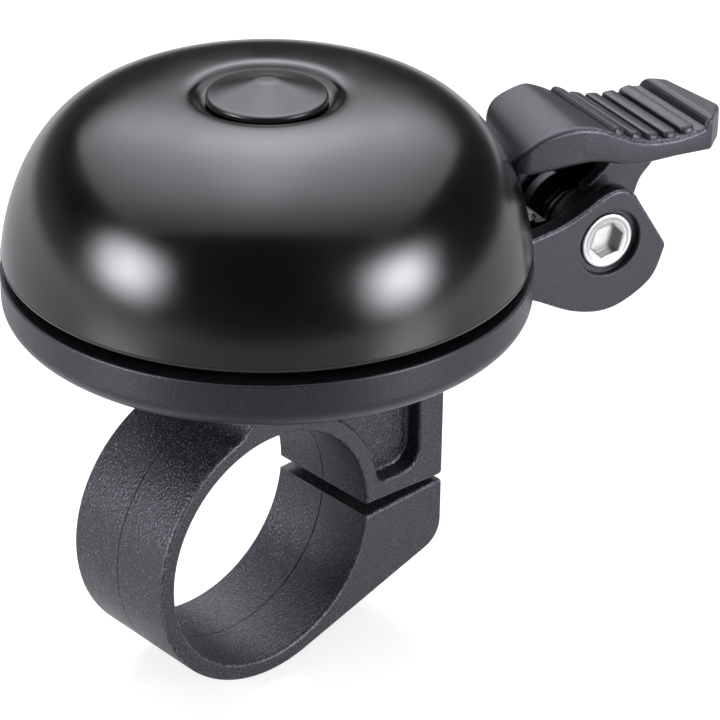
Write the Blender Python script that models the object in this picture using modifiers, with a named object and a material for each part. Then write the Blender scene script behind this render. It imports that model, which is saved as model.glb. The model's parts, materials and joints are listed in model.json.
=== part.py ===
"""Thumb-lever bicycle bell on a split handlebar clamp.

Origin at the centre of the handlebar bore, +Y along the handlebar, +Z up, +X towards the clamp's split.
The dome stands on an upright axis beside the origin. The lever turns on a level pin outside the dome.
"""

import math

import bmesh
import bpy
from mathutils import Matrix, Vector

MM = 0.001

# Gaps between pieces that seat on, or pass through, one another
SEAT_GAP = 0.3 * MM
HOLE_GAP = 0.3 * MM

# Handlebar clamp
BAR_RADIUS = 12.7 * MM
BAND_WALL = 1.8 * MM
CLAMP_WIDTH = 13.7 * MM
CLAMP_EDGE = 0.35 * MM
LUG_LENGTH = 8.9 * MM
NECK_HEIGHT = 7.45 * MM
SPLIT_LEVEL = -0.63 * MM
SPLIT_INNER = 1.4 * MM
SPLIT_OUTER = 0.5 * MM
LUG_SLANT = math.radians(17.0)
LUG_CORNER = 3.0 * MM
NECK_BACK = 2.5 * MM
NECK_FILLET = 3.0 * MM
POCKET_DEPTH = 2.0 * MM
POCKET_START = 8.0 * MM
POCKET_FLOOR = 2.0 * MM
POCKET_WALL = 3.4 * MM
POCKET_FLANGE = 2.0 * MM
POCKET_TOE = 1.2 * MM
POCKET_HEEL = 2.2 * MM

# Dome, measured up from its rim
DOME_OFFSET = 5.2 * MM
DOME_RADIUS = 25.95 * MM
DOME_HEIGHT = 16.2 * MM
DOME_WALL = 1.3 * MM
CROWN_POWER = 4.7
FLANK_POWER = 1.56
RECESS_SLOPE = 1.3 * MM
RECESS_DEPTH = 1.0 * MM

# Cap nut, post and bolt on the dome's axis
CAP_RADIUS = 5.9 * MM
CAP_EDGE = 0.4 * MM
CAP_PLAY = 0.4 * MM
CAP_SKIRT = 0.6 * MM
CAP_RISE = 1.4 * MM
CAP_SLEEVE_RADIUS = 3.0 * MM
CAP_SLEEVE_LENGTH = 4.5 * MM
CAP_ROOF = 0.8 * MM
DOME_WASHER_RADIUS = 5.2 * MM
DOME_WASHER_THICKNESS = 0.8 * MM
POST_RADIUS = 4.4 * MM
POST_FOOT_RADIUS = 6.4 * MM
POST_FOOT_HEIGHT = 1.6 * MM
BOLT_RADIUS = 2.0 * MM
BOLT_HEAD_FLATS = 7.0 * MM
BOLT_HEAD_HEIGHT = 2.8 * MM
BOLT_SEAT_RISE = 4.9 * MM
BOLT_TIP_GAP = 0.5 * MM
BOLT_WASHER_RADIUS = 4.0 * MM
BOLT_WASHER_THICKNESS = 0.6 * MM

# Base tray
BASE_OVERHANG = 0.15 * MM
RIM_GAP = 1.1 * MM
BASE_WALL_HEIGHT = 3.0 * MM
BASE_ROUND_HEIGHT = 3.3 * MM
BASE_ROUND_WIDTH = 4.5 * MM
BASE_SHELL = 1.8 * MM
BASE_LIP_EDGE = 0.4 * MM
BOSS_RADIUS = 7.0 * MM
BOSS_HEIGHT = 1.0 * MM

# Lever pivot, measured out from the tray's wall and down from the rim
LEVER_TURN = math.radians(-13.9)
PIVOT_STANDOFF = 9.2 * MM
PIVOT_DROP = 4.5 * MM
LEVER_TRAVEL = math.radians(12.0)
EAR_WALL = 2.2 * MM
EAR_EDGE = 0.4 * MM
EAR_ROOT = 1.4 * MM
EAR_HEEL = 3.8 * MM
EAR_BOSS_RADIUS = 4.8 * MM
EAR_BOSS_HEIGHT = 1.3 * MM
PIN_RADIUS = 1.5 * MM
PIN_HEAD_RADIUS = 2.8 * MM
PIN_HEAD_HEIGHT = 2.0 * MM
PIN_HEAD_RECESS = 0.75 * MM
PIN_BORE_RADIUS = 3.65 * MM
PIN_SOCKET_FLATS = 2.5 * MM
PIN_SOCKET_DEPTH = 1.3 * MM
NUT_FLATS = 5.5 * MM
NUT_THICKNESS = 2.4 * MM
BUSH_RADIUS = 2.4 * MM
SCREW_EDGE = 0.25 * MM

# Lever
PAD_WIDTH = 13.1 * MM
PAD_OVERHANG = 0.95 * MM
PAD_SKEW = 2.6 * MM
PAD_CORNER = 1.0 * MM
PAD_FAR_CORNER = 3.0 * MM
DISH_START = 1.0 * MM
RIB_INSET = 0.2 * MM
RIB_HEIGHT = 0.7 * MM
RIB_SUNK = 0.03 * MM
RIB_PITCH = 2.15 * MM
RIB_FIRST = 1.15 * MM
RIB_COUNT = 5
RIB_SHAPE = ((0.0, 0.0), (0.17, 0.0), (0.29, 0.88), (0.5, 1.0), (0.71, 0.88), (0.83, 0.0))
TIP_VALLEY = 0.75 * MM
TIP_RAMP = 0.3 * MM
TIP_LENGTH = 2.75 * MM
TIP_SKEW = 1.2 * MM
TIP_CHAMFER_LENGTH = 2.3 * MM
TIP_CHAMFER_WIDTH = 2.2 * MM
NECK_WIDTH = 7.0 * MM
NECK_PLAY = 0.4 * MM
CHEEK_WALL = 1.4 * MM
HUB_RADIUS = 4.2 * MM
TAIL_GAP = 1.0 * MM
TAIL_TOP = 0.7 * MM
TAIL_THICKNESS = 1.9 * MM

# Outlines in millimetres, as distance out from the pivot and height above it
EAR_CREST = ((-6.1, 3.0), (-3.7, 3.9), (-1.2, 5.2), (0.4, 5.7), (1.8, 5.5), (3.0, 4.6))
EAR_BELLY = ((6.8, -1.4), (6.8, -2.3), (5.2, -5.5), (0.8, -7.65), (-3.7, -7.1), (-8.9, -4.6))
EAR_ROOT_LEVELS = (2.1, -3.0)
PAD_UNDERSIDE = ((8.3, 7.6), (4.0, 7.6), (1.8, 8.0), (-2.2, 8.85))
NECK_FRONT = ((8.2, 7.9), (7.4, 6.0), (6.0, 4.4), (5.3, 2.5))
NECK_REAR = ((-0.6, 4.8), (1.4, 6.4), (2.6, 8.2))
ROOM_FRONT = ((4.5, 4.4), (5.5, 6.0), (5.8, 7.1))
ROOM_KNEE = 2.4 * MM
# The pad's hump, out from the end beside the dome, and the heights of its dish, evenly spaced
PAD_HUMP = ((0.0, 9.8), (1.6, 11.6), (4.2, 12.75), (7.1, 12.9), (9.5, 12.3))
PAD_HEEL = ((2.5, 8.5), (0.5, 8.6))
DISH_LEVELS = (11.4, 10.45, 9.9, 9.68, 9.75, 10.15)
TIP_LEVELS = (11.0, 11.15)
TIP_BOTTOM = (2.0, 7.5)

# Return spring
WIRE_RADIUS = 0.3 * MM
COIL_PLAY = 0.5 * MM
COIL_PITCH = 1.05 * MM
COIL_START = math.radians(-95.0)
COIL_END = math.radians(720.0)
COIL_STEPS = 10
SPRING_REST_DROP = 2.2 * MM
SPRING_LEG = ((0.0, 2.5), (0.3, 4.2), (1.2, 6.3))

# Striker
ARM_WIDTH = 5.0 * MM
ARM_THICKNESS = 0.5 * MM
ARM_BEND = 1.0 * MM
ARM_ROOT_GAP = 0.5 * MM
ARM_TOP_OVER = 2.2 * MM
STRIKE_HEIGHT = 5.0 * MM
STRIKE_GAP = 0.3 * MM
STRIKER_RADIUS = 3.0 * MM
STRIKER_BODY = 1.6 * MM
STRIKER_BORE = 0.9 * MM
RIVET_RADIUS = 0.6 * MM
RIVET_HEAD_RADIUS = 1.1 * MM
RIVET_HEAD_HEIGHT = 0.6 * MM
RIVET_CROWN = ((0.0, 1.0), (0.7, 0.75), (1.0, 0.0))
RIVET_SPACING = 2.6 * MM
NOTCH_WIDTH = 6.4 * MM
NOTCH_FLOOR = 0.2 * MM

# Clamp screw
CLAMP_SCREW_INSET = 5.8 * MM
CLAMP_SEAT_LEVEL = -4.3 * MM
CLAMP_HEAD_RADIUS = 2.75 * MM
CLAMP_HEAD_HEIGHT = 3.0 * MM
CLAMP_WASHER_THICKNESS = 0.5 * MM
CLAMP_NUT_LEVEL = 2.3 * MM
CLAMP_TIP_OVER = 1.6 * MM

# Facets
TURN_STEPS = 52
SMALL_STEPS = 24
PROFILE_STEPS = 12

# What follows from the driving dimensions, up from the handlebar and out from the dome's axis
RING_RADIUS = BAR_RADIUS + BAND_WALL
BLOCK_REACH = RING_RADIUS + LUG_LENGTH
CLAMP_TOP = RING_RADIUS + NECK_HEIGHT
CLAMP_SCREW_REACH = BLOCK_REACH - CLAMP_SCREW_INSET
BOLT_SEAT_LEVEL = BAR_RADIUS + BOLT_SEAT_RISE
BASE_BOTTOM = CLAMP_TOP + SEAT_GAP
BASE_FLOOR = BASE_BOTTOM + BASE_SHELL
BASE_TOP = BASE_BOTTOM + BASE_ROUND_HEIGHT + BASE_WALL_HEIGHT
BASE_RADIUS = DOME_RADIUS + BASE_OVERHANG
RIM_LEVEL = BASE_TOP + RIM_GAP
RECESS_FLOOR = CAP_RADIUS + CAP_PLAY
RECESS_RADIUS = RECESS_FLOOR + RECESS_SLOPE
DOME_SEAT = RIM_LEVEL + DOME_HEIGHT - RECESS_DEPTH
CAP_BOTTOM = DOME_SEAT + SEAT_GAP
CAP_APEX = CAP_BOTTOM + CAP_SKIRT + CAP_RISE
POST_BOTTOM = BASE_FLOOR + BOSS_HEIGHT + SEAT_GAP
WASHER_TOP = DOME_SEAT - DOME_WALL - SEAT_GAP
POST_TOP = WASHER_TOP - DOME_WASHER_THICKNESS - SEAT_GAP
SLEEVE_HOLE = CAP_SLEEVE_RADIUS + HOLE_GAP
BOLT_HOLE = BOLT_RADIUS + HOLE_GAP
PIVOT_REACH = BASE_RADIUS + PIVOT_STANDOFF
EAR_INNER = NECK_WIDTH / 2 + NECK_PLAY
EAR_SPAN = 2 * (EAR_INNER + EAR_BOSS_HEIGHT + EAR_WALL)
PIN_SEAT = EAR_SPAN / 2 - PIN_HEAD_RECESS - PIN_HEAD_HEIGHT
PIN_HOLE = PIN_RADIUS + HOLE_GAP
HUB_BORE = BUSH_RADIUS + HOLE_GAP
COIL_RADIUS = BUSH_RADIUS + COIL_PLAY + WIRE_RADIUS
PAD_START = PIVOT_REACH - DOME_RADIUS + PAD_OVERHANG
RIB_START = RIB_FIRST - RIB_PITCH / 2
RIB_END = RIB_START + RIB_COUNT * RIB_PITCH
TIP_FOOT = RIB_END + TIP_VALLEY
TIP_REACH = TIP_FOOT + TIP_RAMP + TIP_LENGTH
TAIL_REACH = PIVOT_STANDOFF - TAIL_GAP
ARM_ROOT = HUB_RADIUS + ARM_ROOT_GAP
ARM_BOTTOM = TAIL_TOP + SEAT_GAP
ARM_TOP = ARM_BOTTOM + ARM_THICKNESS


def clear_scene():
    """Empty the file, so that the script can be run again in the same session."""
    for item in list(bpy.data.objects):
        bpy.data.objects.remove(item, do_unlink=True)


def collection(name):
    """Return a new collection that is linked to the scene."""
    made = bpy.data.collections.new(name)
    bpy.context.scene.collection.children.link(made)
    return made


def material(name, colour, roughness, metallic):
    """Return a Principled material."""
    made = bpy.data.materials.new(name)
    made.use_nodes = True
    shader = made.node_tree.nodes["Principled BSDF"]
    shader.inputs["Base Color"].default_value = (*colour, 1.0)
    shader.inputs["Roughness"].default_value = roughness
    shader.inputs["Metallic"].default_value = metallic
    made.diffuse_color = (*colour, 1.0)
    return made


def arc(centre, radius, start, end, steps):
    """Return points along an arc, both ends included."""
    angles = [start + (end - start) * i / steps for i in range(steps + 1)]
    return [(centre[0] + radius * math.cos(a), centre[1] + radius * math.sin(a)) for a in angles]


def smooth(points, per_span):
    """Return points along a Catmull-Rom curve through the given points."""
    ends = [points[0]] + list(points) + [points[-1]]
    path = []
    for before, here, there, after in zip(ends, ends[1:], ends[2:], ends[3:]):
        for i in range(per_span):
            t = i / per_span
            path.append(
                tuple(
                    0.5
                    * (
                        2 * b
                        + (c - a) * t
                        + (2 * a - 5 * b + 4 * c - d) * t * t
                        + (3 * b - a - 3 * c + d) * t**3
                    )
                    for a, b, c, d in zip(before, here, there, after)
                )
            )
    return path + [tuple(points[-1])]


def in_mm(points):
    """Return outline points, given in millimetres, in metres."""
    return [(x * MM, y * MM) for x, y in points]


class Builder:
    """Makes the named pieces and the hidden cutters in their collections."""

    def __init__(self):
        self.parts = collection("bicycle_bell")
        self.cutters = collection("cutters")

    def add(self, name, mesh, finish=None, parent=None):
        """Add a mesh as a piece with a finish, or as a hidden cutter without one."""
        item = bpy.data.objects.new(name, mesh)
        item.parent = parent
        if finish is None:
            self.cutters.objects.link(item)
            item.hide_render = True
            item.display_type = "WIRE"
        else:
            self.parts.objects.link(item)
            mesh.materials.append(finish)
        return item

    def turned(self, name, profile, finish=None, parent=None, steps=TURN_STEPS, closed=True):
        """Add a turned piece from a profile of radius and height that runs down its outer side."""
        count = len(profile)
        edges = [(i, i + 1) for i in range(count - 1)]
        if closed:
            edges.append((count - 1, 0))
        mesh = bpy.data.meshes.new(name)
        mesh.from_pydata([(r, 0.0, z) for r, z in profile], edges, [])
        item = self.add(name, mesh, finish, parent)
        screw = item.modifiers.new("turn", "SCREW")
        screw.steps = steps
        screw.render_steps = steps
        screw.use_merge_vertices = True
        screw.merge_threshold = 1e-6
        screw.use_smooth_shade = True
        return item

    def prism(self, name, outline, depth, finish=None, parent=None, upright=True, shift=0.0, edge=0.0):
        """Add an extruded outline, upright in XZ with its depth along Y, or flat in XY with its depth along Z."""
        flat = bpy.data.curves.new(name, "CURVE")
        flat.dimensions = "2D"
        flat.fill_mode = "BOTH"
        flat.extrude = depth / 2 - edge
        flat.bevel_depth = edge
        flat.bevel_resolution = 0
        flat.offset = -edge
        spline = flat.splines.new("POLY")
        spline.points.add(len(outline) - 1)
        for point, (x, y) in zip(spline.points, outline):
            point.co = (x, y, 0.0, 1.0)
        spline.use_cyclic_u = True
        guide = bpy.data.objects.new(name + "_outline", flat)
        self.cutters.objects.link(guide)
        graph = bpy.context.evaluated_depsgraph_get()
        mesh = bpy.data.meshes.new_from_object(guide.evaluated_get(graph))
        bpy.data.objects.remove(guide)
        mesh.materials.clear()
        weld(mesh)
        if upright:
            mesh.transform(Matrix.Translation((0.0, shift, 0.0)) @ Matrix.Rotation(math.pi / 2, 4, "X"))
        else:
            mesh.transform(Matrix.Translation((0.0, 0.0, shift)))
        return self.add(name, mesh, finish, parent)

    def rod(self, name, radius, start, end, finish=None, parent=None, steps=SMALL_STEPS, spin=0.0):
        """Add a round or many-sided rod between two points."""
        start, end = Vector(start), Vector(end)
        turn = (end - start).to_track_quat("Z", "Y").to_matrix().to_4x4()
        place = Matrix.Translation((start + end) / 2) @ turn @ Matrix.Rotation(spin, 4, "Z")
        form = bmesh.new()
        bmesh.ops.create_cone(
            form,
            cap_ends=True,
            segments=steps,
            radius1=radius,
            radius2=radius,
            depth=(end - start).length,
            matrix=place,
        )
        mesh = bpy.data.meshes.new(name)
        form.to_mesh(mesh)
        form.free()
        return self.add(name, mesh, finish, parent)

    def block(self, name, low, high, finish=None, parent=None):
        """Add a box between two corners."""
        low, high = Vector(low), Vector(high)
        size = high - low
        form = bmesh.new()
        place = Matrix.Translation((low + high) / 2) @ Matrix.Diagonal((*size, 1.0))
        bmesh.ops.create_cube(form, size=1.0, matrix=place)
        mesh = bpy.data.meshes.new(name)
        form.to_mesh(mesh)
        form.free()
        return self.add(name, mesh, finish, parent)


def weld(mesh):
    """Close the loose caps of an extruded outline."""
    form = bmesh.new()
    form.from_mesh(mesh)
    bmesh.ops.remove_doubles(form, verts=form.verts, dist=1e-7)
    bmesh.ops.recalc_face_normals(form, faces=form.faces)
    form.to_mesh(mesh)
    form.free()


def combine(item, other, operation):
    """Cut, join or intersect a piece with a hidden one."""
    step = item.modifiers.new(operation.lower(), "BOOLEAN")
    step.operation = operation
    step.object = other
    step.solver = "EXACT"


def cut(item, *others):
    for other in others:
        combine(item, other, "DIFFERENCE")


def join(item, *others):
    for other in others:
        combine(item, other, "UNION")


def hex_radius(flats):
    """Return the corner radius of a hexagon from the distance across its flats."""
    return flats / 2 / math.cos(math.pi / 6)


def crown(radius, height, angle):
    """Return a point of the dome's superellipse, from the rim at 0 to the top at a right angle."""
    return (
        radius * math.cos(angle) ** (2 / CROWN_POWER),
        height * math.sin(angle) ** (2 / FLANK_POWER),
    )


def crown_angle(radius, at):
    """Return the angle at which the superellipse has come in to a given radius."""
    return math.acos((at / radius) ** (CROWN_POWER / 2))


def crown_radius(radius, height, at):
    """Return the superellipse's radius at a height above the rim."""
    return radius * (1 - (at / height) ** FLANK_POWER) ** (1 / CROWN_POWER)


def dome_profile():
    """Outer skin from the cap's recess down to the rim, then the inner skin back up."""
    inner_radius, inner_height = DOME_RADIUS - DOME_WALL, DOME_HEIGHT - DOME_WALL
    outer_end = crown_angle(DOME_RADIUS, RECESS_RADIUS)
    inner_end = crown_angle(inner_radius, RECESS_RADIUS + DOME_WALL)
    seat = DOME_SEAT - RIM_LEVEL
    profile = [(SLEEVE_HOLE, seat), (RECESS_FLOOR, seat)]
    for i in range(PROFILE_STEPS + 1):
        profile.append(crown(DOME_RADIUS, DOME_HEIGHT, outer_end * (1 - i / PROFILE_STEPS)))
    for i in range(PROFILE_STEPS + 1):
        profile.append(crown(inner_radius, inner_height, inner_end * i / PROFILE_STEPS))
    profile += [(RECESS_FLOOR + DOME_WALL, seat - DOME_WALL), (SLEEVE_HOLE, seat - DOME_WALL)]
    return [(r, z + RIM_LEVEL) for r, z in profile]


def make_dome(build, axis, finish):
    return build.turned("dome", dome_profile(), finish["dome_black"], axis)


def make_cap(build, axis, finish):
    """Shallow cone whose threaded sleeve passes down through the dome."""
    edge_level = CAP_BOTTOM + CAP_SKIRT
    corner = arc((CAP_RADIUS - CAP_EDGE, edge_level - CAP_EDGE), CAP_EDGE, math.pi / 2, 0.0, 4)
    sleeve_end = CAP_BOTTOM - CAP_SLEEVE_LENGTH
    profile = [(0.0, CAP_APEX)] + corner + [
        (CAP_RADIUS, CAP_BOTTOM),
        (CAP_SLEEVE_RADIUS, CAP_BOTTOM),
        (CAP_SLEEVE_RADIUS, sleeve_end),
        (BOLT_HOLE, sleeve_end),
        (BOLT_HOLE, CAP_APEX - CAP_ROOF - SEAT_GAP),
        (0.0, CAP_APEX - CAP_ROOF),
    ]
    return build.turned("dome_cap", profile, finish["cap_black"], axis, steps=48, closed=False)


def make_post(build, axis, finish):
    """Sleeve that holds the dome clear of the tray, with a foot on the tray's boss."""
    foot_top = POST_BOTTOM + POST_FOOT_HEIGHT
    sleeve_room = CAP_BOTTOM - CAP_SLEEVE_LENGTH - SEAT_GAP
    profile = [
        (SLEEVE_HOLE, POST_TOP),
        (POST_RADIUS, POST_TOP),
        (POST_RADIUS, foot_top),
        (POST_FOOT_RADIUS, foot_top),
        (POST_FOOT_RADIUS, POST_BOTTOM),
        (BOLT_HOLE, POST_BOTTOM),
        (BOLT_HOLE, sleeve_room),
        (SLEEVE_HOLE, sleeve_room),
    ]
    build.turned("dome_post", profile, finish["zinc_steel"], axis, steps=SMALL_STEPS)


def make_washer(build, name, top, thickness, radius, hole, finish, parent):
    profile = [(hole, top), (radius, top), (radius, top - thickness), (hole, top - thickness)]
    return build.turned(name, profile, finish, parent, steps=SMALL_STEPS)


def make_bolt(build, axis, finish):
    """Hexagon bolt from the roof of the handlebar bore up into the cap nut."""
    head_top = BOLT_SEAT_LEVEL - 2 * SEAT_GAP - BOLT_WASHER_THICKNESS
    tip = CAP_APEX - CAP_ROOF - SEAT_GAP - BOLT_TIP_GAP
    corner = hex_radius(BOLT_HEAD_FLATS)
    head = build.rod(
        "centre_bolt", corner, (0, 0, head_top - BOLT_HEAD_HEIGHT), (0, 0, head_top), finish["zinc_steel"], axis, 6
    )
    shank = build.rod("bolt_shank", BOLT_RADIUS, (0, 0, head_top - BOLT_HEAD_HEIGHT / 2), (0, 0, tip), None, axis)
    join(head, shank)
    make_washer(
        build,
        "bolt_washer",
        BOLT_SEAT_LEVEL - SEAT_GAP,
        BOLT_WASHER_THICKNESS,
        BOLT_WASHER_RADIUS,
        BOLT_HOLE,
        finish["zinc_steel"],
        axis,
    )


def tray_profile():
    """Lip, straight wall and wide rounding outside, and the same shape one wall thickness inside."""
    wall_end = BASE_TOP - BASE_WALL_HEIGHT
    inner = BASE_RADIUS - BASE_SHELL
    turn = [math.pi / 2 * i / 8 for i in range(9)]
    outside = [
        (BASE_RADIUS - BASE_ROUND_WIDTH * (1 - math.cos(a)), wall_end - BASE_ROUND_HEIGHT * math.sin(a)) for a in turn
    ]
    inside = [
        (inner - BASE_ROUND_WIDTH * (1 - math.cos(a)), wall_end - (wall_end - BASE_FLOOR) * math.sin(a)) for a in turn
    ]
    lip = [(inner, BASE_TOP), (BASE_RADIUS - BASE_LIP_EDGE, BASE_TOP), (BASE_RADIUS, BASE_TOP - BASE_LIP_EDGE)]
    boss_top = BASE_FLOOR + BOSS_HEIGHT
    middle = [(BOLT_HOLE, BASE_BOTTOM), (BOLT_HOLE, boss_top), (BOSS_RADIUS, boss_top), (BOSS_RADIUS, BASE_FLOOR)]
    return lip + outside + middle + inside[::-1]


def tray_radius(level):
    """Return the tray's outer radius at a height."""
    below = max(0.0, BASE_TOP - BASE_WALL_HEIGHT - level) / BASE_ROUND_HEIGHT
    return BASE_RADIUS - BASE_ROUND_WIDTH * (1 - math.sqrt(1 - below**2))


def ear_outline():
    """Outline of a lever ear about the pivot: low arched top, straight slanted nose, wide round belly."""
    top, bottom = (level * MM for level in EAR_ROOT_LEVELS)
    crest = smooth([(-PIVOT_STANDOFF - EAR_ROOT, top)] + in_mm(EAR_CREST), 3)
    belly = smooth(in_mm(EAR_BELLY) + [(-PIVOT_STANDOFF - EAR_HEEL, bottom)], 4)
    return crest + belly


def make_base(build, axis, pivot, finish):
    """Round tray under the dome, with two ears for the lever and a notch for the striker arm."""
    base = build.turned("base", tray_profile(), finish["tray_plastic"], axis)
    middle = (EAR_SPAN - EAR_WALL) / 2
    for side, name in ((-1, "near"), (1, "far")):
        ear = build.prism(name + "_ear", ear_outline(), EAR_WALL, None, pivot, shift=side * middle, edge=EAR_EDGE)
        boss = build.rod(
            name + "_boss", EAR_BOSS_RADIUS, (0, side * middle, 0), (0, side * EAR_INNER, 0), None, pivot
        )
        join(base, ear, boss)
    outside = EAR_SPAN
    hole = build.rod("pin_hole", PIN_HOLE, (0, -outside, 0), (0, outside, 0), None, pivot)
    counterbore = build.rod("pin_counterbore", PIN_BORE_RADIUS, (0, -outside, 0), (0, -PIN_SEAT, 0), None, pivot)
    trap = build.rod(
        "nut_trap", hex_radius(NUT_FLATS + 2 * HOLE_GAP), (0, PIN_SEAT, 0), (0, outside, 0), None, pivot, 6
    )
    wall = BASE_RADIUS - PIVOT_REACH
    notch = build.block(
        "arm_notch",
        (wall - 2 * BASE_SHELL, -NOTCH_WIDTH / 2, NOTCH_FLOOR),
        (wall + BASE_SHELL, NOTCH_WIDTH / 2, PIVOT_DROP),
        None,
        pivot,
    )
    cut(base, hole, counterbore, trap, notch)


def clamp_outline():
    """Neck, round band and slanted lug in one outline, seen along the handlebar."""
    back = -NECK_BACK - NECK_FILLET
    fillet = (back, math.sqrt((RING_RADIUS + NECK_FILLET) ** 2 - back**2))
    to_ring = math.atan2(-fillet[1], -fillet[0])
    ring_start = math.atan2(fillet[1], fillet[0])
    ring_end = 1.5 * math.pi + LUG_SLANT
    outline = [(-NECK_BACK, CLAMP_TOP)]
    outline += arc(fillet, NECK_FILLET, 0.0, to_ring, 6)
    outline += arc((0.0, 0.0), RING_RADIUS, ring_start, ring_end, 30)[1:]
    foot_x, foot_z = outline[-1]
    corner_z = foot_z + (BLOCK_REACH - foot_x) * math.tan(LUG_SLANT)
    run = LUG_CORNER * math.tan((math.pi / 2 - LUG_SLANT) / 2)
    centre = (BLOCK_REACH - LUG_CORNER, corner_z + run)
    outline += arc(centre, LUG_CORNER, LUG_SLANT - math.pi / 2, 0.0, 6)
    outline.append((BLOCK_REACH, CLAMP_TOP))
    return outline


def split_outline():
    """Wedge that opens the band on the block's side, wide at the bore and narrow at the outer face."""
    slope = (SPLIT_OUTER - SPLIT_INNER) / 2 / (BLOCK_REACH - BAR_RADIUS)
    inner_x, outer_x = BAR_RADIUS / 2, BLOCK_REACH + SPLIT_INNER
    inner = SPLIT_INNER / 2 + slope * (inner_x - BAR_RADIUS)
    outer = SPLIT_INNER / 2 + slope * (outer_x - BAR_RADIUS)
    return [
        (inner_x, SPLIT_LEVEL - inner),
        (outer_x, SPLIT_LEVEL - outer),
        (outer_x, SPLIT_LEVEL + outer),
        (inner_x, SPLIT_LEVEL + inner),
    ]


def pocket_outline():
    """Lightening pocket between the band, the block's outer wall and the flange under the tray."""
    top = CLAMP_TOP - POCKET_FLANGE
    wall = BLOCK_REACH - POCKET_WALL
    toe_z = POCKET_FLOOR + POCKET_TOE
    toe_x = math.sqrt((RING_RADIUS + POCKET_TOE) ** 2 - toe_z**2)
    toe_angle = math.atan2(toe_z, toe_x)
    outline = [(POCKET_START, top)]
    outline += arc((0.0, 0.0), RING_RADIUS, math.acos(POCKET_START / RING_RADIUS), toe_angle, 10)
    outline += arc((toe_x, toe_z), POCKET_TOE, math.pi + toe_angle, 1.5 * math.pi, 4)[1:]
    heel = (wall - POCKET_HEEL, POCKET_FLOOR + POCKET_HEEL)
    outline += arc(heel, POCKET_HEEL, -math.pi / 2, 0.0, 5)
    outline.append((wall, top))
    return outline


def make_clamp(build, axis, finish):
    """Band, neck and lugs moulded in one, with the bore, the split and the seats of its fasteners."""
    clamp = build.prism("clamp", clamp_outline(), CLAMP_WIDTH, finish["clamp_plastic"], edge=CLAMP_EDGE)
    reach = CLAMP_WIDTH
    bore = build.rod("bar_bore", BAR_RADIUS, (0, -reach, 0), (0, reach, 0), steps=TURN_STEPS)
    split = build.prism("band_split", split_outline(), 2 * reach)
    cut(clamp, bore, split)
    pocket_middle = CLAMP_WIDTH / 2
    for side, name in ((-1, "near_pocket"), (1, "far_pocket")):
        cut(clamp, build.prism(name, pocket_outline(), 2 * POCKET_DEPTH, shift=side * pocket_middle))
    room = BOLT_WASHER_RADIUS + HOLE_GAP
    bolt_pocket = build.rod("bolt_pocket", room, (0, 0, 0), (0, 0, BOLT_SEAT_LEVEL), None, axis)
    bolt_hole = build.rod("bolt_hole", BOLT_HOLE, (0, 0, 0), (0, 0, BASE_TOP), None, axis)
    cut(clamp, bolt_pocket, bolt_hole)
    x = CLAMP_SCREW_REACH
    nut_top = CLAMP_NUT_LEVEL + NUT_THICKNESS + 2 * SEAT_GAP
    blind_end = nut_top + CLAMP_TIP_OVER + SEAT_GAP
    screw_hole = build.rod("screw_hole", PIN_HOLE, (x, 0, -RING_RADIUS), (x, 0, blind_end))
    counterbore = build.rod(
        "screw_counterbore", CLAMP_HEAD_RADIUS + HOLE_GAP, (x, 0, -RING_RADIUS), (x, 0, CLAMP_SEAT_LEVEL)
    )
    half = NUT_FLATS / 2 + HOLE_GAP
    nut_slot = build.block("nut_slot", (x - half, -half * 2 / math.sqrt(3), CLAMP_NUT_LEVEL), (x + half, reach, nut_top))
    cut(clamp, screw_hole, counterbore, nut_slot)


def socket_screw(build, name, head_radius, head_height, shank_length, finish, parent):
    """Socket-head screw with its head's seat at the origin and its shank along -Z."""
    profile = [
        (0.0, head_height),
        (head_radius - SCREW_EDGE, head_height),
        (head_radius, head_height - SCREW_EDGE),
        (head_radius, 0.0),
        (PIN_RADIUS, 0.0),
        (PIN_RADIUS, -shank_length),
        (0.0, -shank_length),
    ]
    screw = build.turned(name, profile, finish, parent, steps=SMALL_STEPS, closed=False)
    socket = build.rod(
        name + "_socket",
        hex_radius(PIN_SOCKET_FLATS),
        (0, 0, head_height - PIN_SOCKET_DEPTH),
        (0, 0, head_height * 2),
        None,
        parent,
        6,
    )
    cut(screw, socket)
    return screw, socket


def hex_nut(build, name, finish, parent):
    """Plain nut, centred on the origin with its hole along Z."""
    half = NUT_THICKNESS / 2
    nut = build.rod(name, hex_radius(NUT_FLATS), (0, 0, -half), (0, 0, half), finish, parent, 6)
    hole = build.rod(name + "_hole", PIN_HOLE, (0, 0, -2 * half), (0, 0, 2 * half), None, parent)
    cut(nut, hole)
    return nut, hole


def place(items, location, rotation=(0.0, 0.0, 0.0)):
    for item in items:
        item.location = location
        item.rotation_euler = rotation


def make_clamp_fasteners(build, finish):
    """Socket screw up through the lug, washer under its head, and nut in the block's slot."""
    x = CLAMP_SCREW_REACH
    head_top = CLAMP_SEAT_LEVEL - 2 * SEAT_GAP - CLAMP_WASHER_THICKNESS
    nut_bottom = CLAMP_NUT_LEVEL + SEAT_GAP
    tip = nut_bottom + NUT_THICKNESS + CLAMP_TIP_OVER
    pieces = socket_screw(
        build, "clamp_screw", CLAMP_HEAD_RADIUS, CLAMP_HEAD_HEIGHT, tip - head_top, finish["zinc_steel"], None
    )
    place(pieces, (x, 0.0, head_top), (math.pi, 0.0, 0.0))
    washer_top = CLAMP_SEAT_LEVEL - SEAT_GAP
    washer = make_washer(
        build,
        "clamp_washer",
        washer_top,
        CLAMP_WASHER_THICKNESS,
        CLAMP_HEAD_RADIUS,
        PIN_HOLE,
        finish["zinc_steel"],
        None,
    )
    washer.location.x = x
    nut = hex_nut(build, "clamp_nut", finish["zinc_steel"], None)
    place(nut, (x, 0.0, nut_bottom + NUT_THICKNESS / 2))


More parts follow.
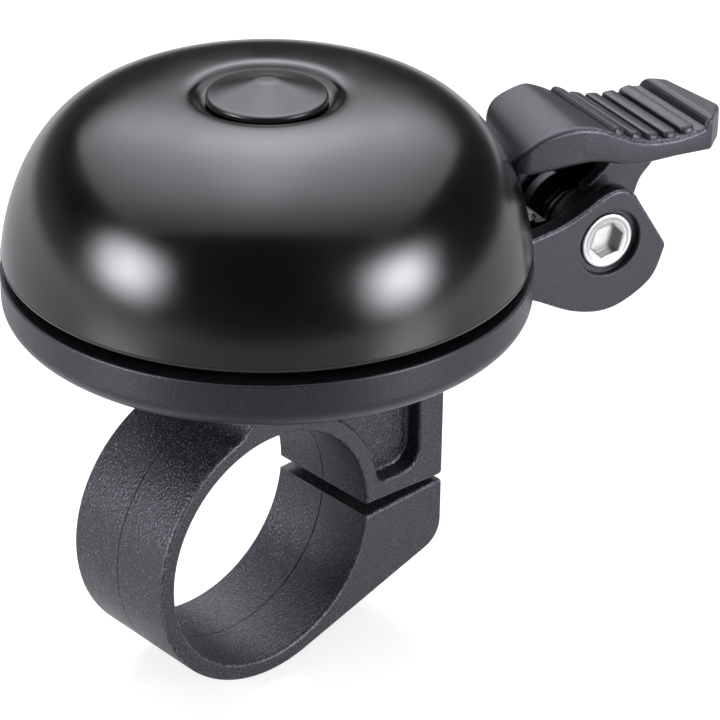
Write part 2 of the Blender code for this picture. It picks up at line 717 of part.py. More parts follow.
def make_pivot(build, pivot, finish):
    """Socket screw through both ears, bush that the lever turns on, and nut trapped in the far ear."""
    nut_start = PIN_SEAT + SEAT_GAP
    pieces = socket_screw(
        build,
        "pivot_screw",
        PIN_HEAD_RADIUS,
        PIN_HEAD_HEIGHT - SEAT_GAP,
        PIN_SEAT + SEAT_GAP + nut_start + NUT_THICKNESS,
        finish["bright_steel"],
        pivot,
    )
    place(pieces, (0.0, -PIN_SEAT - SEAT_GAP, 0.0), (math.pi / 2, 0.0, 0.0))
    nut = hex_nut(build, "pivot_nut", finish["bright_steel"], pivot)
    place(nut, (0.0, nut_start + NUT_THICKNESS / 2, 0.0), (math.pi / 2, 0.0, 0.0))
    length = 2 * (EAR_INNER - SEAT_GAP)
    profile = [
        (PIN_HOLE, length / 2),
        (BUSH_RADIUS, length / 2),
        (BUSH_RADIUS, -length / 2),
        (PIN_HOLE, -length / 2),
    ]
    bush = build.turned("pivot_bush", profile, finish["zinc_steel"], pivot, steps=SMALL_STEPS)
    bush.rotation_euler = (math.pi / 2, 0.0, 0.0)


def pad_top():
    """Upper edge of the thumb pad from the hump beside the dome to the tip's foot, in the ribs' valleys."""
    hump = [(x - PAD_START, z) for x, z in in_mm(PAD_HUMP)]
    step = (TIP_FOOT - DISH_START) / (len(DISH_LEVELS) - 1)
    dish = [(DISH_START + i * step, level * MM) for i, level in enumerate(DISH_LEVELS)]
    return smooth(hump + dish, 4)


def pad_underside():
    """Lower edge of the thumb pad from the tip back to the hump."""
    (setback, bottom), = in_mm([TIP_BOTTOM])
    heel = [(x - PAD_START, z) for x, z in in_mm(PAD_HEEL)]
    return smooth([(TIP_REACH - setback, bottom)] + in_mm(PAD_UNDERSIDE) + heel, 3)


def pad_outline():
    """Side of the pad: hump, dish, the tip's raised plateau and the underside."""
    past_tip = TIP_REACH + TIP_SKEW
    low, high = (level * MM for level in TIP_LEVELS)
    plateau = [(TIP_FOOT + TIP_RAMP, low), (TIP_FOOT + 3 * TIP_RAMP, high)]
    tip = [(past_tip, high), (past_tip, pad_underside()[0][1])]
    return pad_top() + plateau + tip + pad_underside()


def level_at(path, x):
    """Return the height of a path at a distance along it."""
    below = [p for p in path if p[0] <= x][-1]
    above = [p for p in path if p[0] > x][0]
    return below[1] + (above[1] - below[1]) * (x - below[0]) / (above[0] - below[0])


def ribbed_outline():
    """Slice of the pad that carries the cross ribs, from the first rib to the tip's plateau."""
    top = pad_top()
    ridge = []
    for rib in range(RIB_COUNT):
        for along, height in RIB_SHAPE:
            x = RIB_START + (rib + along) * RIB_PITCH
            ridge.append((x, level_at(top, x) + RIB_HEIGHT * height - RIB_SUNK))
    ridge.append((RIB_END, level_at(top, RIB_END) - RIB_SUNK))
    floor = pad_underside()[0][1] + RIB_HEIGHT
    return ridge + [(RIB_END, floor), (RIB_START, floor)]


def pad_plan():
    """Plan of the pad: round corners at the dome's side, cut corners at the tip, and both ends skewed."""
    half = PAD_WIDTH / 2
    near_tip, far_tip = TIP_REACH, TIP_REACH - TIP_SKEW
    near_start, far_start = -PAD_START, PAD_SKEW - PAD_START
    tip = [
        (near_tip - TIP_CHAMFER_LENGTH, -half),
        (near_tip, TIP_CHAMFER_WIDTH - half),
        (far_tip, half - TIP_CHAMFER_WIDTH),
        (far_tip - TIP_CHAMFER_LENGTH, half),
    ]
    far_centre = (far_start + PAD_FAR_CORNER, half - PAD_FAR_CORNER)
    near_centre = (near_start + PAD_CORNER, PAD_CORNER - half)
    far_corner = arc(far_centre, PAD_FAR_CORNER, math.pi / 2, math.pi, 6)
    near_corner = arc(near_centre, PAD_CORNER, math.pi, 1.5 * math.pi, 4)
    return tip + far_corner + near_corner


def neck_outline():
    """Neck from the pad down to the hub, and the flat tail that carries the striker arm."""
    tail_bottom = TAIL_TOP - TAIL_THICKNESS
    front = smooth(in_mm(NECK_FRONT), 4)
    hub = arc((0.0, 0.0), HUB_RADIUS, math.radians(10.0), -math.pi - math.asin(tail_bottom / HUB_RADIUS), 14)
    tail = [(-TAIL_REACH, tail_bottom), (-TAIL_REACH, TAIL_TOP)]
    shoulder = arc((0.0, 0.0), HUB_RADIUS, math.pi - math.asin(TAIL_TOP / HUB_RADIUS), math.radians(100.0), 6)
    return front + hub + tail + shoulder + in_mm(NECK_REAR)


def spring_room():
    """Space between the neck's two cheeks, open towards the dome and downwards."""
    left = -HUB_RADIUS
    wall = COIL_RADIUS + WIRE_RADIUS + HOLE_GAP
    slant = in_mm(ROOM_FRONT)
    low, high = -2 * HUB_RADIUS, slant[-1][1]
    return [(left, low), (wall, low), (wall, ROOM_KNEE)] + slant + [(left, high)]


def make_lever(build, pivot, finish):
    """Ribbed thumb pad on a hollow neck, with its hub on the pivot bush."""
    lever = build.prism("lever", pad_outline(), PAD_WIDTH, finish["lever_plastic"], pivot)
    ribs = build.prism("pad_ribs", ribbed_outline(), PAD_WIDTH - 2 * RIB_INSET, None, pivot)
    plan = build.prism("pad_plan", pad_plan(), 2 * PIVOT_REACH, None, pivot, upright=False)
    neck = build.prism("lever_neck", neck_outline(), NECK_WIDTH, None, pivot)
    room = build.prism("spring_room", spring_room(), NECK_WIDTH - 2 * CHEEK_WALL, None, pivot)
    bore = build.rod("hub_bore", HUB_BORE, (0, -NECK_WIDTH, 0), (0, NECK_WIDTH, 0), None, pivot)
    join(lever, ribs)
    combine(lever, plan, "INTERSECT")
    join(lever, neck)
    cut(lever, room, bore)
    hole = RIVET_RADIUS + HOLE_GAP
    for i, (x, y) in enumerate(rivet_places()):
        cut(lever, build.rod(f"tail_hole_{i}", hole, (x, y, -HUB_RADIUS), (x, y, HUB_RADIUS), None, pivot, 12))


def spring_path():
    """Leg under the tail, close coil round the bush, and leg up to the pad."""
    turns = (COIL_END - COIL_START) / (2 * math.pi)
    steps = round(turns * COIL_STEPS)
    coil = []
    for i in range(steps + 1):
        angle = COIL_START + (COIL_END - COIL_START) * i / steps
        along = (i / steps - 0.5) * turns * COIL_PITCH
        coil.append((COIL_RADIUS * math.cos(angle), along, COIL_RADIUS * math.sin(angle)))
    first, last = coil[0], coil[-1]
    rest = tray_radius(RIM_LEVEL - PIVOT_DROP - SPRING_REST_DROP) - PIVOT_REACH + 2 * SEAT_GAP
    leg_in = [
        (rest * (1 - t) + first[0] * t, first[1], -SPRING_REST_DROP * (1 - t) + first[2] * t) for t in (0.0, 0.5)
    ]
    leg_out = [(last[0] + x, last[1], z) for x, z in in_mm(SPRING_LEG)]
    return leg_in + coil + leg_out


def least_self_gap(path, radius, skip):
    """Return the least gap between parts of a wire that are more than a few points apart along it."""
    points = [Vector(p) for p in path]
    pairs = ((a, b) for i, a in enumerate(points) for b in points[i + skip :])
    return min((a - b).length for a, b in pairs) - 2 * radius


def make_spring(build, pivot, finish):
    """Torsion spring of round wire, one unbroken tube."""
    path = spring_path()
    wire = bpy.data.curves.new("return_spring", "CURVE")
    wire.dimensions = "3D"
    wire.bevel_depth = WIRE_RADIUS
    wire.bevel_resolution = 1
    wire.use_fill_caps = True
    spline = wire.splines.new("POLY")
    spline.points.add(len(path) - 1)
    for point, place_at in zip(spline.points, path):
        point.co = (*place_at, 1.0)
    spring = bpy.data.objects.new("return_spring", wire)
    spring.parent = pivot
    wire.materials.append(finish["spring_steel"])
    build.parts.objects.link(spring)
    gap = least_self_gap(path, WIRE_RADIUS, COIL_STEPS // 2)
    print(f"return spring: least gap between turns {gap / MM:.2f} mm")


def striker_centre():
    """Centre of the striker's round nose at rest, from the place where it meets the dome at full travel."""
    inner_radius, inner_height = DOME_RADIUS - DOME_WALL, DOME_HEIGHT - DOME_WALL
    step = STRIKE_HEIGHT / 100
    here = crown_radius(inner_radius, inner_height, STRIKE_HEIGHT)
    lean = (crown_radius(inner_radius, inner_height, STRIKE_HEIGHT + step) - here) / step
    normal = Vector((1.0, -lean)).normalized()
    struck = Vector((here - PIVOT_REACH, STRIKE_HEIGHT + PIVOT_DROP)) - normal * (STRIKER_RADIUS + STRIKE_GAP)
    c, s = math.cos(LEVER_TRAVEL), math.sin(LEVER_TRAVEL)
    return Vector((struck.x * c - struck.y * s, struck.x * s + struck.y * c))


def rivet_places():
    """Places of the two rivets, side by side, that hold the striker arm on the tail."""
    middle = -(ARM_ROOT + TAIL_REACH) / 2
    return ((middle, -RIVET_SPACING / 2), (middle, RIVET_SPACING / 2))


def arm_outline(centre):
    """Strip on edge: level over the tail and through the notch, then bent up behind the striker."""
    back = centre.x - STRIKER_BODY - SEAT_GAP - ARM_THICKNESS
    front = back + ARM_THICKNESS
    top = centre.y + ARM_TOP_OVER
    outer = ARM_BEND + ARM_THICKNESS
    turn = (back + outer, ARM_BOTTOM + outer)
    lower = arc(turn, outer, -math.pi / 2, -math.pi, 6)
    upper = arc(turn, ARM_BEND, -math.pi, -math.pi / 2, 6)
    return [(-ARM_ROOT, ARM_BOTTOM)] + lower + [(back, top), (front, top)] + upper + [(-ARM_ROOT, ARM_TOP)]


def rivet_head(seat, side):
    """Return a rivet head's profile from its crown to its seat, upwards or downwards."""
    return [(RIVET_HEAD_RADIUS * r, seat + side * RIVET_HEAD_HEIGHT * z) for r, z in RIVET_CROWN]


def rivet(build, name, grip, finish, parent):
    """Round-headed rivet with both heads formed, centred on its grip along Z."""
    half = grip / 2 + SEAT_GAP
    profile = rivet_head(half, 1) + [(RIVET_RADIUS, half), (RIVET_RADIUS, -half)] + rivet_head(-half, -1)[::-1]
    return build.turned(name, profile, finish, parent, steps=12, closed=False)


def make_striker(build, pivot, finish):
    """Spring-steel arm riveted to the lever's tail, with a round-nosed striker riveted to its upright end."""
    centre = striker_centre()
    arm = build.prism("striker_arm", arm_outline(centre), ARM_WIDTH, finish["spring_steel"], pivot)
    hole = RIVET_RADIUS + HOLE_GAP
    grip = ARM_TOP - (TAIL_TOP - TAIL_THICKNESS)
    for i, (x, y) in enumerate(rivet_places()):
        cut(arm, build.rod(f"arm_hole_{i}", hole, (x, y, -ARM_WIDTH), (x, y, ARM_WIDTH), None, pivot, 12))
        pin = rivet(build, f"arm_rivet_{i + 1}", grip, finish["bright_steel"], pivot)
        pin.location = (x, y, ARM_TOP - grip / 2)
    far = centre.x - 2 * STRIKER_RADIUS
    cut(arm, build.rod("head_hole", hole, (far, 0, centre.y), (centre.x, 0, centre.y), None, pivot, 12))

    nose = arc((0.0, 0.0), STRIKER_RADIUS, math.pi / 2, 0.0, 8)
    profile = [(max(r, 0.0), z) for r, z in nose]
    profile[0] = (0.0, STRIKER_RADIUS)
    profile += [(STRIKER_RADIUS, -STRIKER_BODY), (hole, -STRIKER_BODY), (hole, STRIKER_BORE), (0.0, STRIKER_BORE)]
    head = build.turned("striker_head", profile, finish["zinc_steel"], pivot, steps=SMALL_STEPS, closed=False)
    place([head], (centre.x, 0.0, centre.y), (0.0, math.pi / 2, 0.0))

    seat = -STRIKER_BODY - SEAT_GAP - ARM_THICKNESS - SEAT_GAP
    stem = [(0.0, STRIKER_BORE - SEAT_GAP), (RIVET_RADIUS, STRIKER_BORE - SEAT_GAP), (RIVET_RADIUS, seat)]
    stem += rivet_head(seat, -1)[::-1]
    pin = build.turned("striker_rivet", stem, finish["bright_steel"], pivot, steps=12, closed=False)
    place([pin], (centre.x, 0.0, centre.y), (0.0, math.pi / 2, 0.0))


def finishes():
    """Colours and surface values of each finish, as the photograph shows them."""
    return {
        "dome_black": material("dome_black", (0.012, 0.012, 0.013), 0.12, 0.6),
        "cap_black": material("cap_black", (0.014, 0.014, 0.015), 0.2, 0.6),
        "tray_plastic": material("tray_plastic", (0.028, 0.028, 0.032), 0.5, 0.0),
        "clamp_plastic": material("clamp_plastic", (0.03, 0.03, 0.033), 0.6, 0.0),
        "lever_plastic": material("lever_plastic", (0.035, 0.035, 0.039), 0.5, 0.0),
        "bright_steel": material("bright_steel", (0.75, 0.75, 0.76), 0.2, 1.0),
        "zinc_steel": material("zinc_steel", (0.55, 0.56, 0.58), 0.35, 1.0),
        "spring_steel": material("spring_steel", (0.4, 0.4, 0.41), 0.3, 1.0),
        "nylon": material("nylon", (0.7, 0.7, 0.68), 0.5, 0.0),
    }


def empty(name, location, turn, parts):
    """Add an empty that carries the pieces placed from one axis."""
    item = bpy.data.objects.new(name, None)
    parts.objects.link(item)
    item.location = location
    item.rotation_euler = (0.0, 0.0, turn)
    return item


def main():
    clear_scene()
    build = Builder()
    finish = finishes()
    axis = empty("dome_axis", (DOME_OFFSET, 0.0, 0.0), 0.0, build.parts)
    out = Vector((math.cos(LEVER_TURN), math.sin(LEVER_TURN), 0.0)) * PIVOT_REACH
    pivot_at = Vector((DOME_OFFSET, 0.0, RIM_LEVEL - PIVOT_DROP)) + out
    pivot = empty("lever_pivot", pivot_at, LEVER_TURN, build.parts)
    bpy.context.view_layer.update()

    make_dome(build, axis, finish)
    make_cap(build, axis, finish)
    make_washer(
        build,
        "dome_washer",
        WASHER_TOP,
        DOME_WASHER_THICKNESS,
        DOME_WASHER_RADIUS,
        SLEEVE_HOLE,
        finish["nylon"],
        axis,
    )
    make_post(build, axis, finish)
    make_bolt(build, axis, finish)
    make_base(build, axis, pivot, finish)
    make_clamp(build, axis, finish)
    make_clamp_fasteners(build, finish)
    make_lever(build, pivot, finish)
    make_pivot(build, pivot, finish)
    make_spring(build, pivot, finish)
    make_striker(build, pivot, finish)
    bpy.context.view_layer.update()


main()
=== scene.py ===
"""Thumb-lever bicycle bell: the finished look of its pieces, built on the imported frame."""

import json
import math

import bmesh
import bpy
from mathutils import Matrix, Vector
from mathutils.kdtree import KDTree


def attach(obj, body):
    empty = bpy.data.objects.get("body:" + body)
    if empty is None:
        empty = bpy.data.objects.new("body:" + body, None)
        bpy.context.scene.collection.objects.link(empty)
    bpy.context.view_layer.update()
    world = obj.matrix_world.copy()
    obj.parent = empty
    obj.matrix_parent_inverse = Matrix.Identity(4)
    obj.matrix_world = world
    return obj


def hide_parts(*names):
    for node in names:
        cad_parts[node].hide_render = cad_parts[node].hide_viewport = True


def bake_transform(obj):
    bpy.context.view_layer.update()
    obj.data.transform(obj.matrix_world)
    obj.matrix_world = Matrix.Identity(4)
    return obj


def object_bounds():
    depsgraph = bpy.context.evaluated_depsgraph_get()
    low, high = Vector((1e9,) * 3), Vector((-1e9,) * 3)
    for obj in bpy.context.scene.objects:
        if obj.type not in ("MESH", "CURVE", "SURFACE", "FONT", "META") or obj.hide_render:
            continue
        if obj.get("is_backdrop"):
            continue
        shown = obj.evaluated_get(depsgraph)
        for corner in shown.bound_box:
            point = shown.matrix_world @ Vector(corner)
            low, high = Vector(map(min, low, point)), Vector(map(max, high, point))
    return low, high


bl_info = {
    "name": "Bicycle bell",
    "version": (1, 0, 0),
    "blender": (4, 5, 0),
    "location": "View3D > Sidebar > Bell",
    "description": "Builds the pieces of a thumb-lever bicycle bell, with their finishes and a studio",
    "category": "Object",
}

MM = 0.001
SAME_POINT, NEAR_POINT = 1e-7, 1e-6  # metres within which points are merged, or found again after a cut
SHARP_ANGLE = math.radians(32.0)  # edges that turn by more than this stay sharp
FACE_WEIGHT = 90  # how far large faces decide the shading of the edges beside them
UPRIGHT = Matrix.Rotation(math.pi / 2, 4, "X")  # turns what was made along Y to stand along Z
FACTOR, MIX_A, MIX_B = 0, 6, 7  # a colour mix's inputs, which share their names with others
WHITE = (1.0, 1.0, 1.0, 1.0)
DIM = (0.04, 0.04, 0.042, 1.0)  # light that the room itself gives
COOL = (0.885, 0.88, 1.0, 1.0)  # tint of the mouldings' gloss
LAMP_COLOUR = (0.94, 0.95, 1.0)

# Camera as fitted to the photograph, and the level directions in which it looks and has its right
CAMERA_LENS, CAMERA_PLACE = 146.25, (-0.1628, -0.19429, 0.15578)
CAMERA_FORWARD, CAMERA_UP = Vector((0.5988, 0.6444, -0.4756)), Vector((0.3136, 0.3578, 0.8796))
CAMERA_HEADING = Matrix.Rotation(math.radians(-43.0), 4, "Z")
PICTURE_RIGHT = (0.737, -0.676, 0.0)

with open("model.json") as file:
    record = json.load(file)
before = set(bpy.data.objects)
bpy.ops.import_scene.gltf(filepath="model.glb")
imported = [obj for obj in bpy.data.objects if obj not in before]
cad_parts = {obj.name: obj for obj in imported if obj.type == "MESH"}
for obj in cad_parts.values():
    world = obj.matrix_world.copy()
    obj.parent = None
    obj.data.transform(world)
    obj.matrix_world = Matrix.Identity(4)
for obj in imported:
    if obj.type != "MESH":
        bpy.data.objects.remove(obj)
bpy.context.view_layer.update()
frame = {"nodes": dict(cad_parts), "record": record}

# Outlines in millimetres, as distance out from the lever's pivot and height above it
EAR_CREST = ((-10.6, 2.1), (-6.1, 3.0), (-3.7, 3.9), (-1.2, 5.2), (0.4, 5.7), (1.8, 5.5), (3.0, 4.6))
EAR_BELLY = ((6.8, -1.4), (6.8, -2.3), (5.2, -5.5), (0.8, -7.65), (-3.7, -7.1), (-8.9, -4.6), (-13.0, -3.0))
PAD_HUMP = ((-10.3, 9.0), (-10.22, 9.8), (-9.95, 10.6), (-9.3, 11.4), (-8.3, 12.05), (-6.9, 12.6), (-5.2, 12.9))
PAD_HUMP += ((-3.2, 12.9), (-0.8, 12.3))
PAD_DISH = ((1.0, 11.4), (3.115, 10.45), (5.23, 9.9), (7.345, 9.68), (9.46, 9.75), (11.575, 10.15))
PAD_TIP = ((11.66, 10.4), (11.78, 10.72), (11.98, 10.96), (12.25, 11.09), (12.6, 11.15), (16.0, 11.15))
PAD_UNDERSIDE = ((-9.8, 8.6), (-7.8, 8.5), (-2.2, 8.85), (1.8, 8.0), (4.0, 7.6), (8.3, 7.6), (12.6, 7.5), (16.0, 7.5))
NECK_FRONT = ((8.2, 7.9), (7.4, 6.0), (6.0, 4.4), (5.3, 2.5))
NECK_REAR = ((-0.6, 4.8), (1.4, 6.4), (2.6, 8.2))
SPRING_ROOM = ((-4.2, -8.4), (3.8, -8.4), (3.8, 2.4), (4.5, 4.4), (5.5, 6.0), (5.8, 7.1), (-4.2, 7.1))
# Half of a rib's section, as shares of half its width and of its height
RIB_SECTION = ((1.0, 0.0), (0.92, 0.4), (0.8, 0.78), (0.58, 0.96), (0.0, 1.0))
# Bores of the clamp in millimetres, as radius, lower end and upper end, and the slot of its nut, out from the handlebar
BOLT_BORES = ((4.3, 5.0, 17.6), (2.3, 5.0, 28.0))
SCREW_BORES = ((1.8, -14.5, 7.8), (3.05, -14.5, -4.3))
NUT_SLOT = ((14.55, 2.3), (20.65, 2.3), (20.65, 5.3), (14.55, 5.3))


def linear(code):
    """Return a colour, written as sRGB hex, in linear light."""
    parts = [int(code[i : i + 2], 16) / 255 for i in (1, 3, 5)]
    return tuple(c / 12.92 if c <= 0.04045 else ((c + 0.055) / 1.055) ** 2.4 for c in parts)


def length(name, description, size):
    """Declare a length, written in millimetres."""
    return bpy.props.FloatProperty(name=name, description=description, default=size * MM, unit="LENGTH", precision=5)


def colour(name, description, code):
    """Declare a colour, written as sRGB hex."""
    return bpy.props.FloatVectorProperty(
        name=name, description=description, default=linear(code), subtype="COLOR", size=3, min=0.0, max=1.0
    )


class BellDomeSizes(bpy.types.PropertyGroup):
    offset: length("Offset", "From the handlebar's axis to the dome's axis", 5.2)
    rim_level: length("Rim level", "Height of the dome's rim above the handlebar's axis", 29.2)
    radius: length("Radius", "Outer radius at the rim", 25.95)
    height: length("Height", "From the rim to the crown", 16.65)
    wall: length("Wall", "Thickness of the metal", 1.3)
    rim_edge: length("Rim edge", "Rounding of the rim", 0.45)
    crown_power: bpy.props.FloatProperty(name="Crown power", description="How square the shoulder is", default=4.7)
    flank_power: bpy.props.FloatProperty(name="Flank power", description="How steep the flank is", default=1.56)
    recess_radius: length("Recess radius", "Where the crown turns down round the cap", 7.6)
    recess_floor: length("Recess floor", "Radius of the level floor under the cap", 6.3)
    recess_depth: length("Recess depth", "From the crown to that floor", 1.0)
    hole: length("Hole", "Radius of the hole for the cap's sleeve", 3.3)
    cap_radius: length("Cap radius", "Outer radius of the cap", 5.9)
    cap_bottom: length("Cap bottom", "Height of the cap's underside", 45.15)
    cap_skirt: length("Cap skirt", "Height of the cap's upright side", 0.6)
    cap_rise: length("Cap rise", "Rise of the cap's cone", 1.4)
    cap_edge: length("Cap edge", "Rounding of the cap's edge", 0.35)
    cap_flat: length("Cap flat", "Radius of the small level disc at the apex", 1.0)
    sleeve_radius: length("Sleeve radius", "Outer radius of the cap's sleeve", 3.0)
    sleeve_bore: length("Sleeve bore", "Radius of the cap's threaded hole", 2.3)
    sleeve_end: length("Sleeve end", "Height of the sleeve's lower end", 40.65)


class BellTraySizes(bpy.types.PropertyGroup):
    radius: length("Radius", "Outer radius of the tray", 26.1)
    top: length("Top", "Height of the tray's lip", 28.25)
    wall_end: length("Wall end", "Height at which the straight wall turns in", 25.55)
    bottom: length("Bottom", "Height of the tray's underside", 22.25)
    round_width: length("Round width", "How far the lower rounding comes in", 6.0)
    shell: length("Shell", "Thickness of the moulding", 1.8)
    lip: length("Lip", "Rounding of the lip", 0.2)
    boss_radius: length("Boss radius", "Boss under the dome's post", 7.0)
    boss_top: length("Boss top", "Height of that boss", 25.05)
    hole: length("Hole", "Radius of the hole for the centre bolt", 2.3)
    ear_inner: length("Ear inner", "From the lever's middle plane to an ear's boss", 3.9)
    ear_wall: length("Ear wall", "Thickness of an ear", 2.2)
    ear_outer: length("Ear outer", "From the lever's middle plane to an ear's outside", 7.4)
    ear_edge: length("Ear edge", "Rounding of the ears' edges", 0.4)
    ear_boss: length("Ear boss", "Radius of the boss inside an ear", 4.8)
    counterbore: length("Counterbore", "Radius of the shallow counterbore round the screw's head", 3.58)
    ledge_depth: length("Ledge depth", "From the ear's face to the ledge in that counterbore", 0.8)
    head_hole: length("Head hole", "Radius of the room for the screw's head below that ledge", 3.05)
    seat: length("Seat", "From the middle plane to the seat of head and nut", 4.65)
    pin_hole: length("Pin hole", "Radius of the hole for the pin", 1.8)
    nut_flats: length("Nut flats", "Across the flats of the nut's trap", 6.1)


class BellClampSizes(bpy.types.PropertyGroup):
    bar: length("Bar", "Radius of the bore for the handlebar", 12.7)
    ring: length("Ring", "Outer radius of the band", 14.5)
    width: length("Width", "Width of the clamp along the handlebar", 13.7)
    top: length("Top", "Height of the face under the tray", 21.95)
    reach: length("Reach", "From the handlebar's axis to the block's outer face", 23.4)
    neck_back: length("Neck back", "How far the neck goes behind the handlebar's axis", 2.5)
    neck_fillet: length("Neck fillet", "Fillet between neck and band", 3.0)
    lug_corner: length("Lug corner", "Rounding of the lug's lower corner", 3.0)
    split_level: length("Split level", "Height of the middle of the split", -0.63)
    split_inner: length("Split inner", "Opening of the split at the bore", 1.4)
    split_outer: length("Split outer", "Opening of the split at the outer face", 0.5)
    edge: length("Edge", "Rounding of the moulding's edges", 0.35)
    pocket_depth: length("Pocket depth", "Depth of the lightening pockets", 2.0)
    screw_reach: length("Screw reach", "From the handlebar's axis to the clamp screw", 17.6)
    parting: length("Parting", "Half the width, and the depth, of the groove along the mould's parting line", 0.07)


class BellLeverSizes(bpy.types.PropertyGroup):
    reach: length("Reach", "From the dome's axis to the lever's pivot", 35.3)
    pivot_level: length("Pivot level", "Height of the pivot above the handlebar's axis", 25.15)
    turn: bpy.props.FloatProperty(
        name="Turn", description="Turn of the lever about the dome", default=math.radians(-13.9), unit="ROTATION"
    )
    width: length("Width", "Width of the thumb pad", 13.1)
    start: length("Start", "From the pivot back to the pad's end beside the dome", 10.3)
    skew: length("Skew", "How far the far corner of that end is set back", 2.4)
    corner: length("Corner", "Rounding of that end's near corner in plan", 1.5)
    far_corner: length("Far corner", "Rounding of that end's far corner in plan", 2.5)
    tip: length("Tip", "From the pivot out to the pad's tip", 14.625)
    tip_skew: length("Tip skew", "How far the far side of the tip is set back", 1.2)
    tip_cut: length("Tip cut", "Length of the cut corners of the tip", 2.3)
    tip_cut_width: length("Tip cut width", "Width of the cut corners of the tip", 2.2)
    top_edge: length("Top edge", "Rounding of the pad's upper edges", 0.6)
    bow: length("Bow", "How far the near side curves in towards the end beside the dome", 1.1)
    lean_length: length("Lean length", "From the pivot back to where the hump lies along the skewed end", 7.0)
    # The pale edge paint, partly rubbed wear and partly painted highlight, sets in from here along the lever's upper
    # edges
    rub_and_highlight_start: length("Rub start", "From the pivot back to where the rubbing of the upper edges sets in", 4.5)
    low_edge: length("Low edge", "Rounding of the pad's lower edges towards the tip", 0.35)
    hump_edge: length("Hump edge", "Rounding of the lower edges under the hump", 0.8)
    hump_end: length("Hump end", "From the pivot to where that wide rounding ends", 3.0)
    neck_width: length("Neck width", "Width of the neck", 7.0)
    cheek: length("Cheek", "Thickness of the neck's two cheeks", 1.4)
    hub: length("Hub", "Radius of the hub", 4.2)
    hub_bore: length("Hub bore", "Radius of the hub's hole", 2.7)
    tail: length("Tail", "From the pivot back to the end of the tail", 8.2)
    rib_count: bpy.props.IntProperty(name="Rib count", description="Ribs across the pad", default=5)
    rib_first: length("Rib first", "From the pivot out to the first rib's middle", 1.15)
    rib_pitch: length("Rib pitch", "Distance between ribs", 2.15)
    rib_width: length("Rib width", "Width of a rib at its foot", 1.75)
    rib_height: length("Rib height", "Height of a rib", 0.68)
    rib_inset: length("Rib inset", "From the pad's side to a rib's end", 0.4)
    rib_roll: length("Rib roll", "Rounding of a rib's ends, in plan and from the side", 0.65)


class BellFastenerSizes(bpy.types.PropertyGroup):
    head_radius: length("Head radius", "Radius of the pivot screw's head", 3.0)
    head_height: length("Head height", "Height of that head", 1.95)
    head_edge: length("Head edge", "Rounding round that head", 0.22)
    head_rim: length("Head rim", "Inner radius of the head's raised rim", 2.4)
    head_dish: length("Head dish", "Depth of the face inside that rim", 0.05)
    socket_flats: length("Socket flats", "Across the flats of the hexagon socket", 3.3)
    socket_depth: length("Socket depth", "Depth of that socket", 1.25)
    spring_still: length("Spring still", "Below the pivot, where the return spring stays with the tray", 1.9)
    spring_carried: length("Spring carried", "Above the pivot, where it moves with the lever", 2.0)
    shank: length("Shank", "Radius of the shank", 1.5)
    tip: length("Tip", "From the lever's middle plane to the shank's end", 7.35)
    seat: length("Seat", "From the lever's middle plane to the head's seat", 4.95)


class BellColours(bpy.types.PropertyGroup):
    enamel: colour("Enamel", "Gloss black enamel of the dome", "#060607")
    cap: colour("Cap", "Black of the cap nut", "#08080a")
    tray: colour("Tray", "Satin black of the tray", "#09090b")
    clamp: colour("Clamp", "Black of the clamp's glass-filled nylon", "#0c0c0e")
    lever: colour("Lever", "Charcoal of the lever", "#101013")
    # Pale paint for the mouldings' edges and glints: partly rubbed wear, partly painted highlight and painted glint
    rub_and_highlight: colour("Worn", "Rubbed edges of the mouldings", "#8a8a92")
    bright: colour("Bright", "Bright plated steel", "#b6b5b3")
    zinc: colour("Zinc", "Zinc plated steel", "#c2c4c8")
    # Dark grey: partly the oiled steel's own colour and partly painted shade where the spring and arm sit in shadow
    spring: colour("Spring", "Oiled spring steel", "#4a4a4d")
    nylon: colour("Nylon", "Natural nylon", "#d9d9d4")
    floor: colour("Floor", "Pale floor of the studio", "#808082")


def arc(centre, radius, start, end, steps):
    """Return points along an arc, both ends included."""
    angles = [start + (end - start) * i / steps for i in range(steps + 1)]
    return [(centre[0] + radius * math.cos(a), centre[1] + radius * math.sin(a)) for a in angles]


def smooth(points, per_span):
    """Return points along a Catmull-Rom curve through the given points."""
    ends = [points[0]] + list(points) + [points[-1]]
    path = []
    for a, b, c, d in zip(ends, ends[1:], ends[2:], ends[3:]):
        for i in range(per_span):
            t = i / per_span
            weights = (t * (2 - t) - 1) * t, (3 * t - 5) * t * t + 2, ((4 - 3 * t) * t + 1) * t, (t - 1) * t * t
            path.append(tuple(sum(w * p[k] for w, p in zip(weights, (a, b, c, d))) / 2 for k in (0, 1)))
    return path + [tuple(points[-1])]


def in_mm(points):
    """Return outline points, given in millimetres, in metres."""
    return [(x * MM, y * MM) for x, y in points]


def level_at(path, x):
    """Return the height of a path at a distance along it."""
    x = min(max(x, path[0][0]), path[-1][0] - 1e-9)
    for (x0, z0), (x1, z1) in zip(path, path[1:]):
        if x0 <= x < x1:
            return z0 + (z1 - z0) * (x - x0) / (x1 - x0)
    return path[-1][1]


def rounded(corners, steps=5):
    """Return an outline whose corners, each given with its radius, are rounded."""
    path = []
    for i, (x, z, radius) in enumerate(corners):
        here = Vector((x, z))
        before = (Vector(corners[i - 1][:2]) - here).normalized()
        after = (Vector(corners[(i + 1) % len(corners)][:2]) - here).normalized()
        if radius <= 0:
            path.append((x, z))
            continue
        half = before.angle(after) / 2
        run = radius / math.tan(half)
        middle = here + (before + after).normalized() * radius / math.sin(half)
        start, end = here + before * run - middle, here + after * run - middle
        sweep = start.angle_signed(end)
        first = math.atan2(start.y, start.x)
        path += arc(middle, radius, first, first - sweep, steps)
    return path


def quarter(steps):
    """Return the angles of a quarter turn, both ends included."""
    return [math.pi / 2 * i / steps for i in range(steps + 1)]


def held(value):
    """Return a value held between 0 and 1."""
    return min(1.0, max(0.0, value))


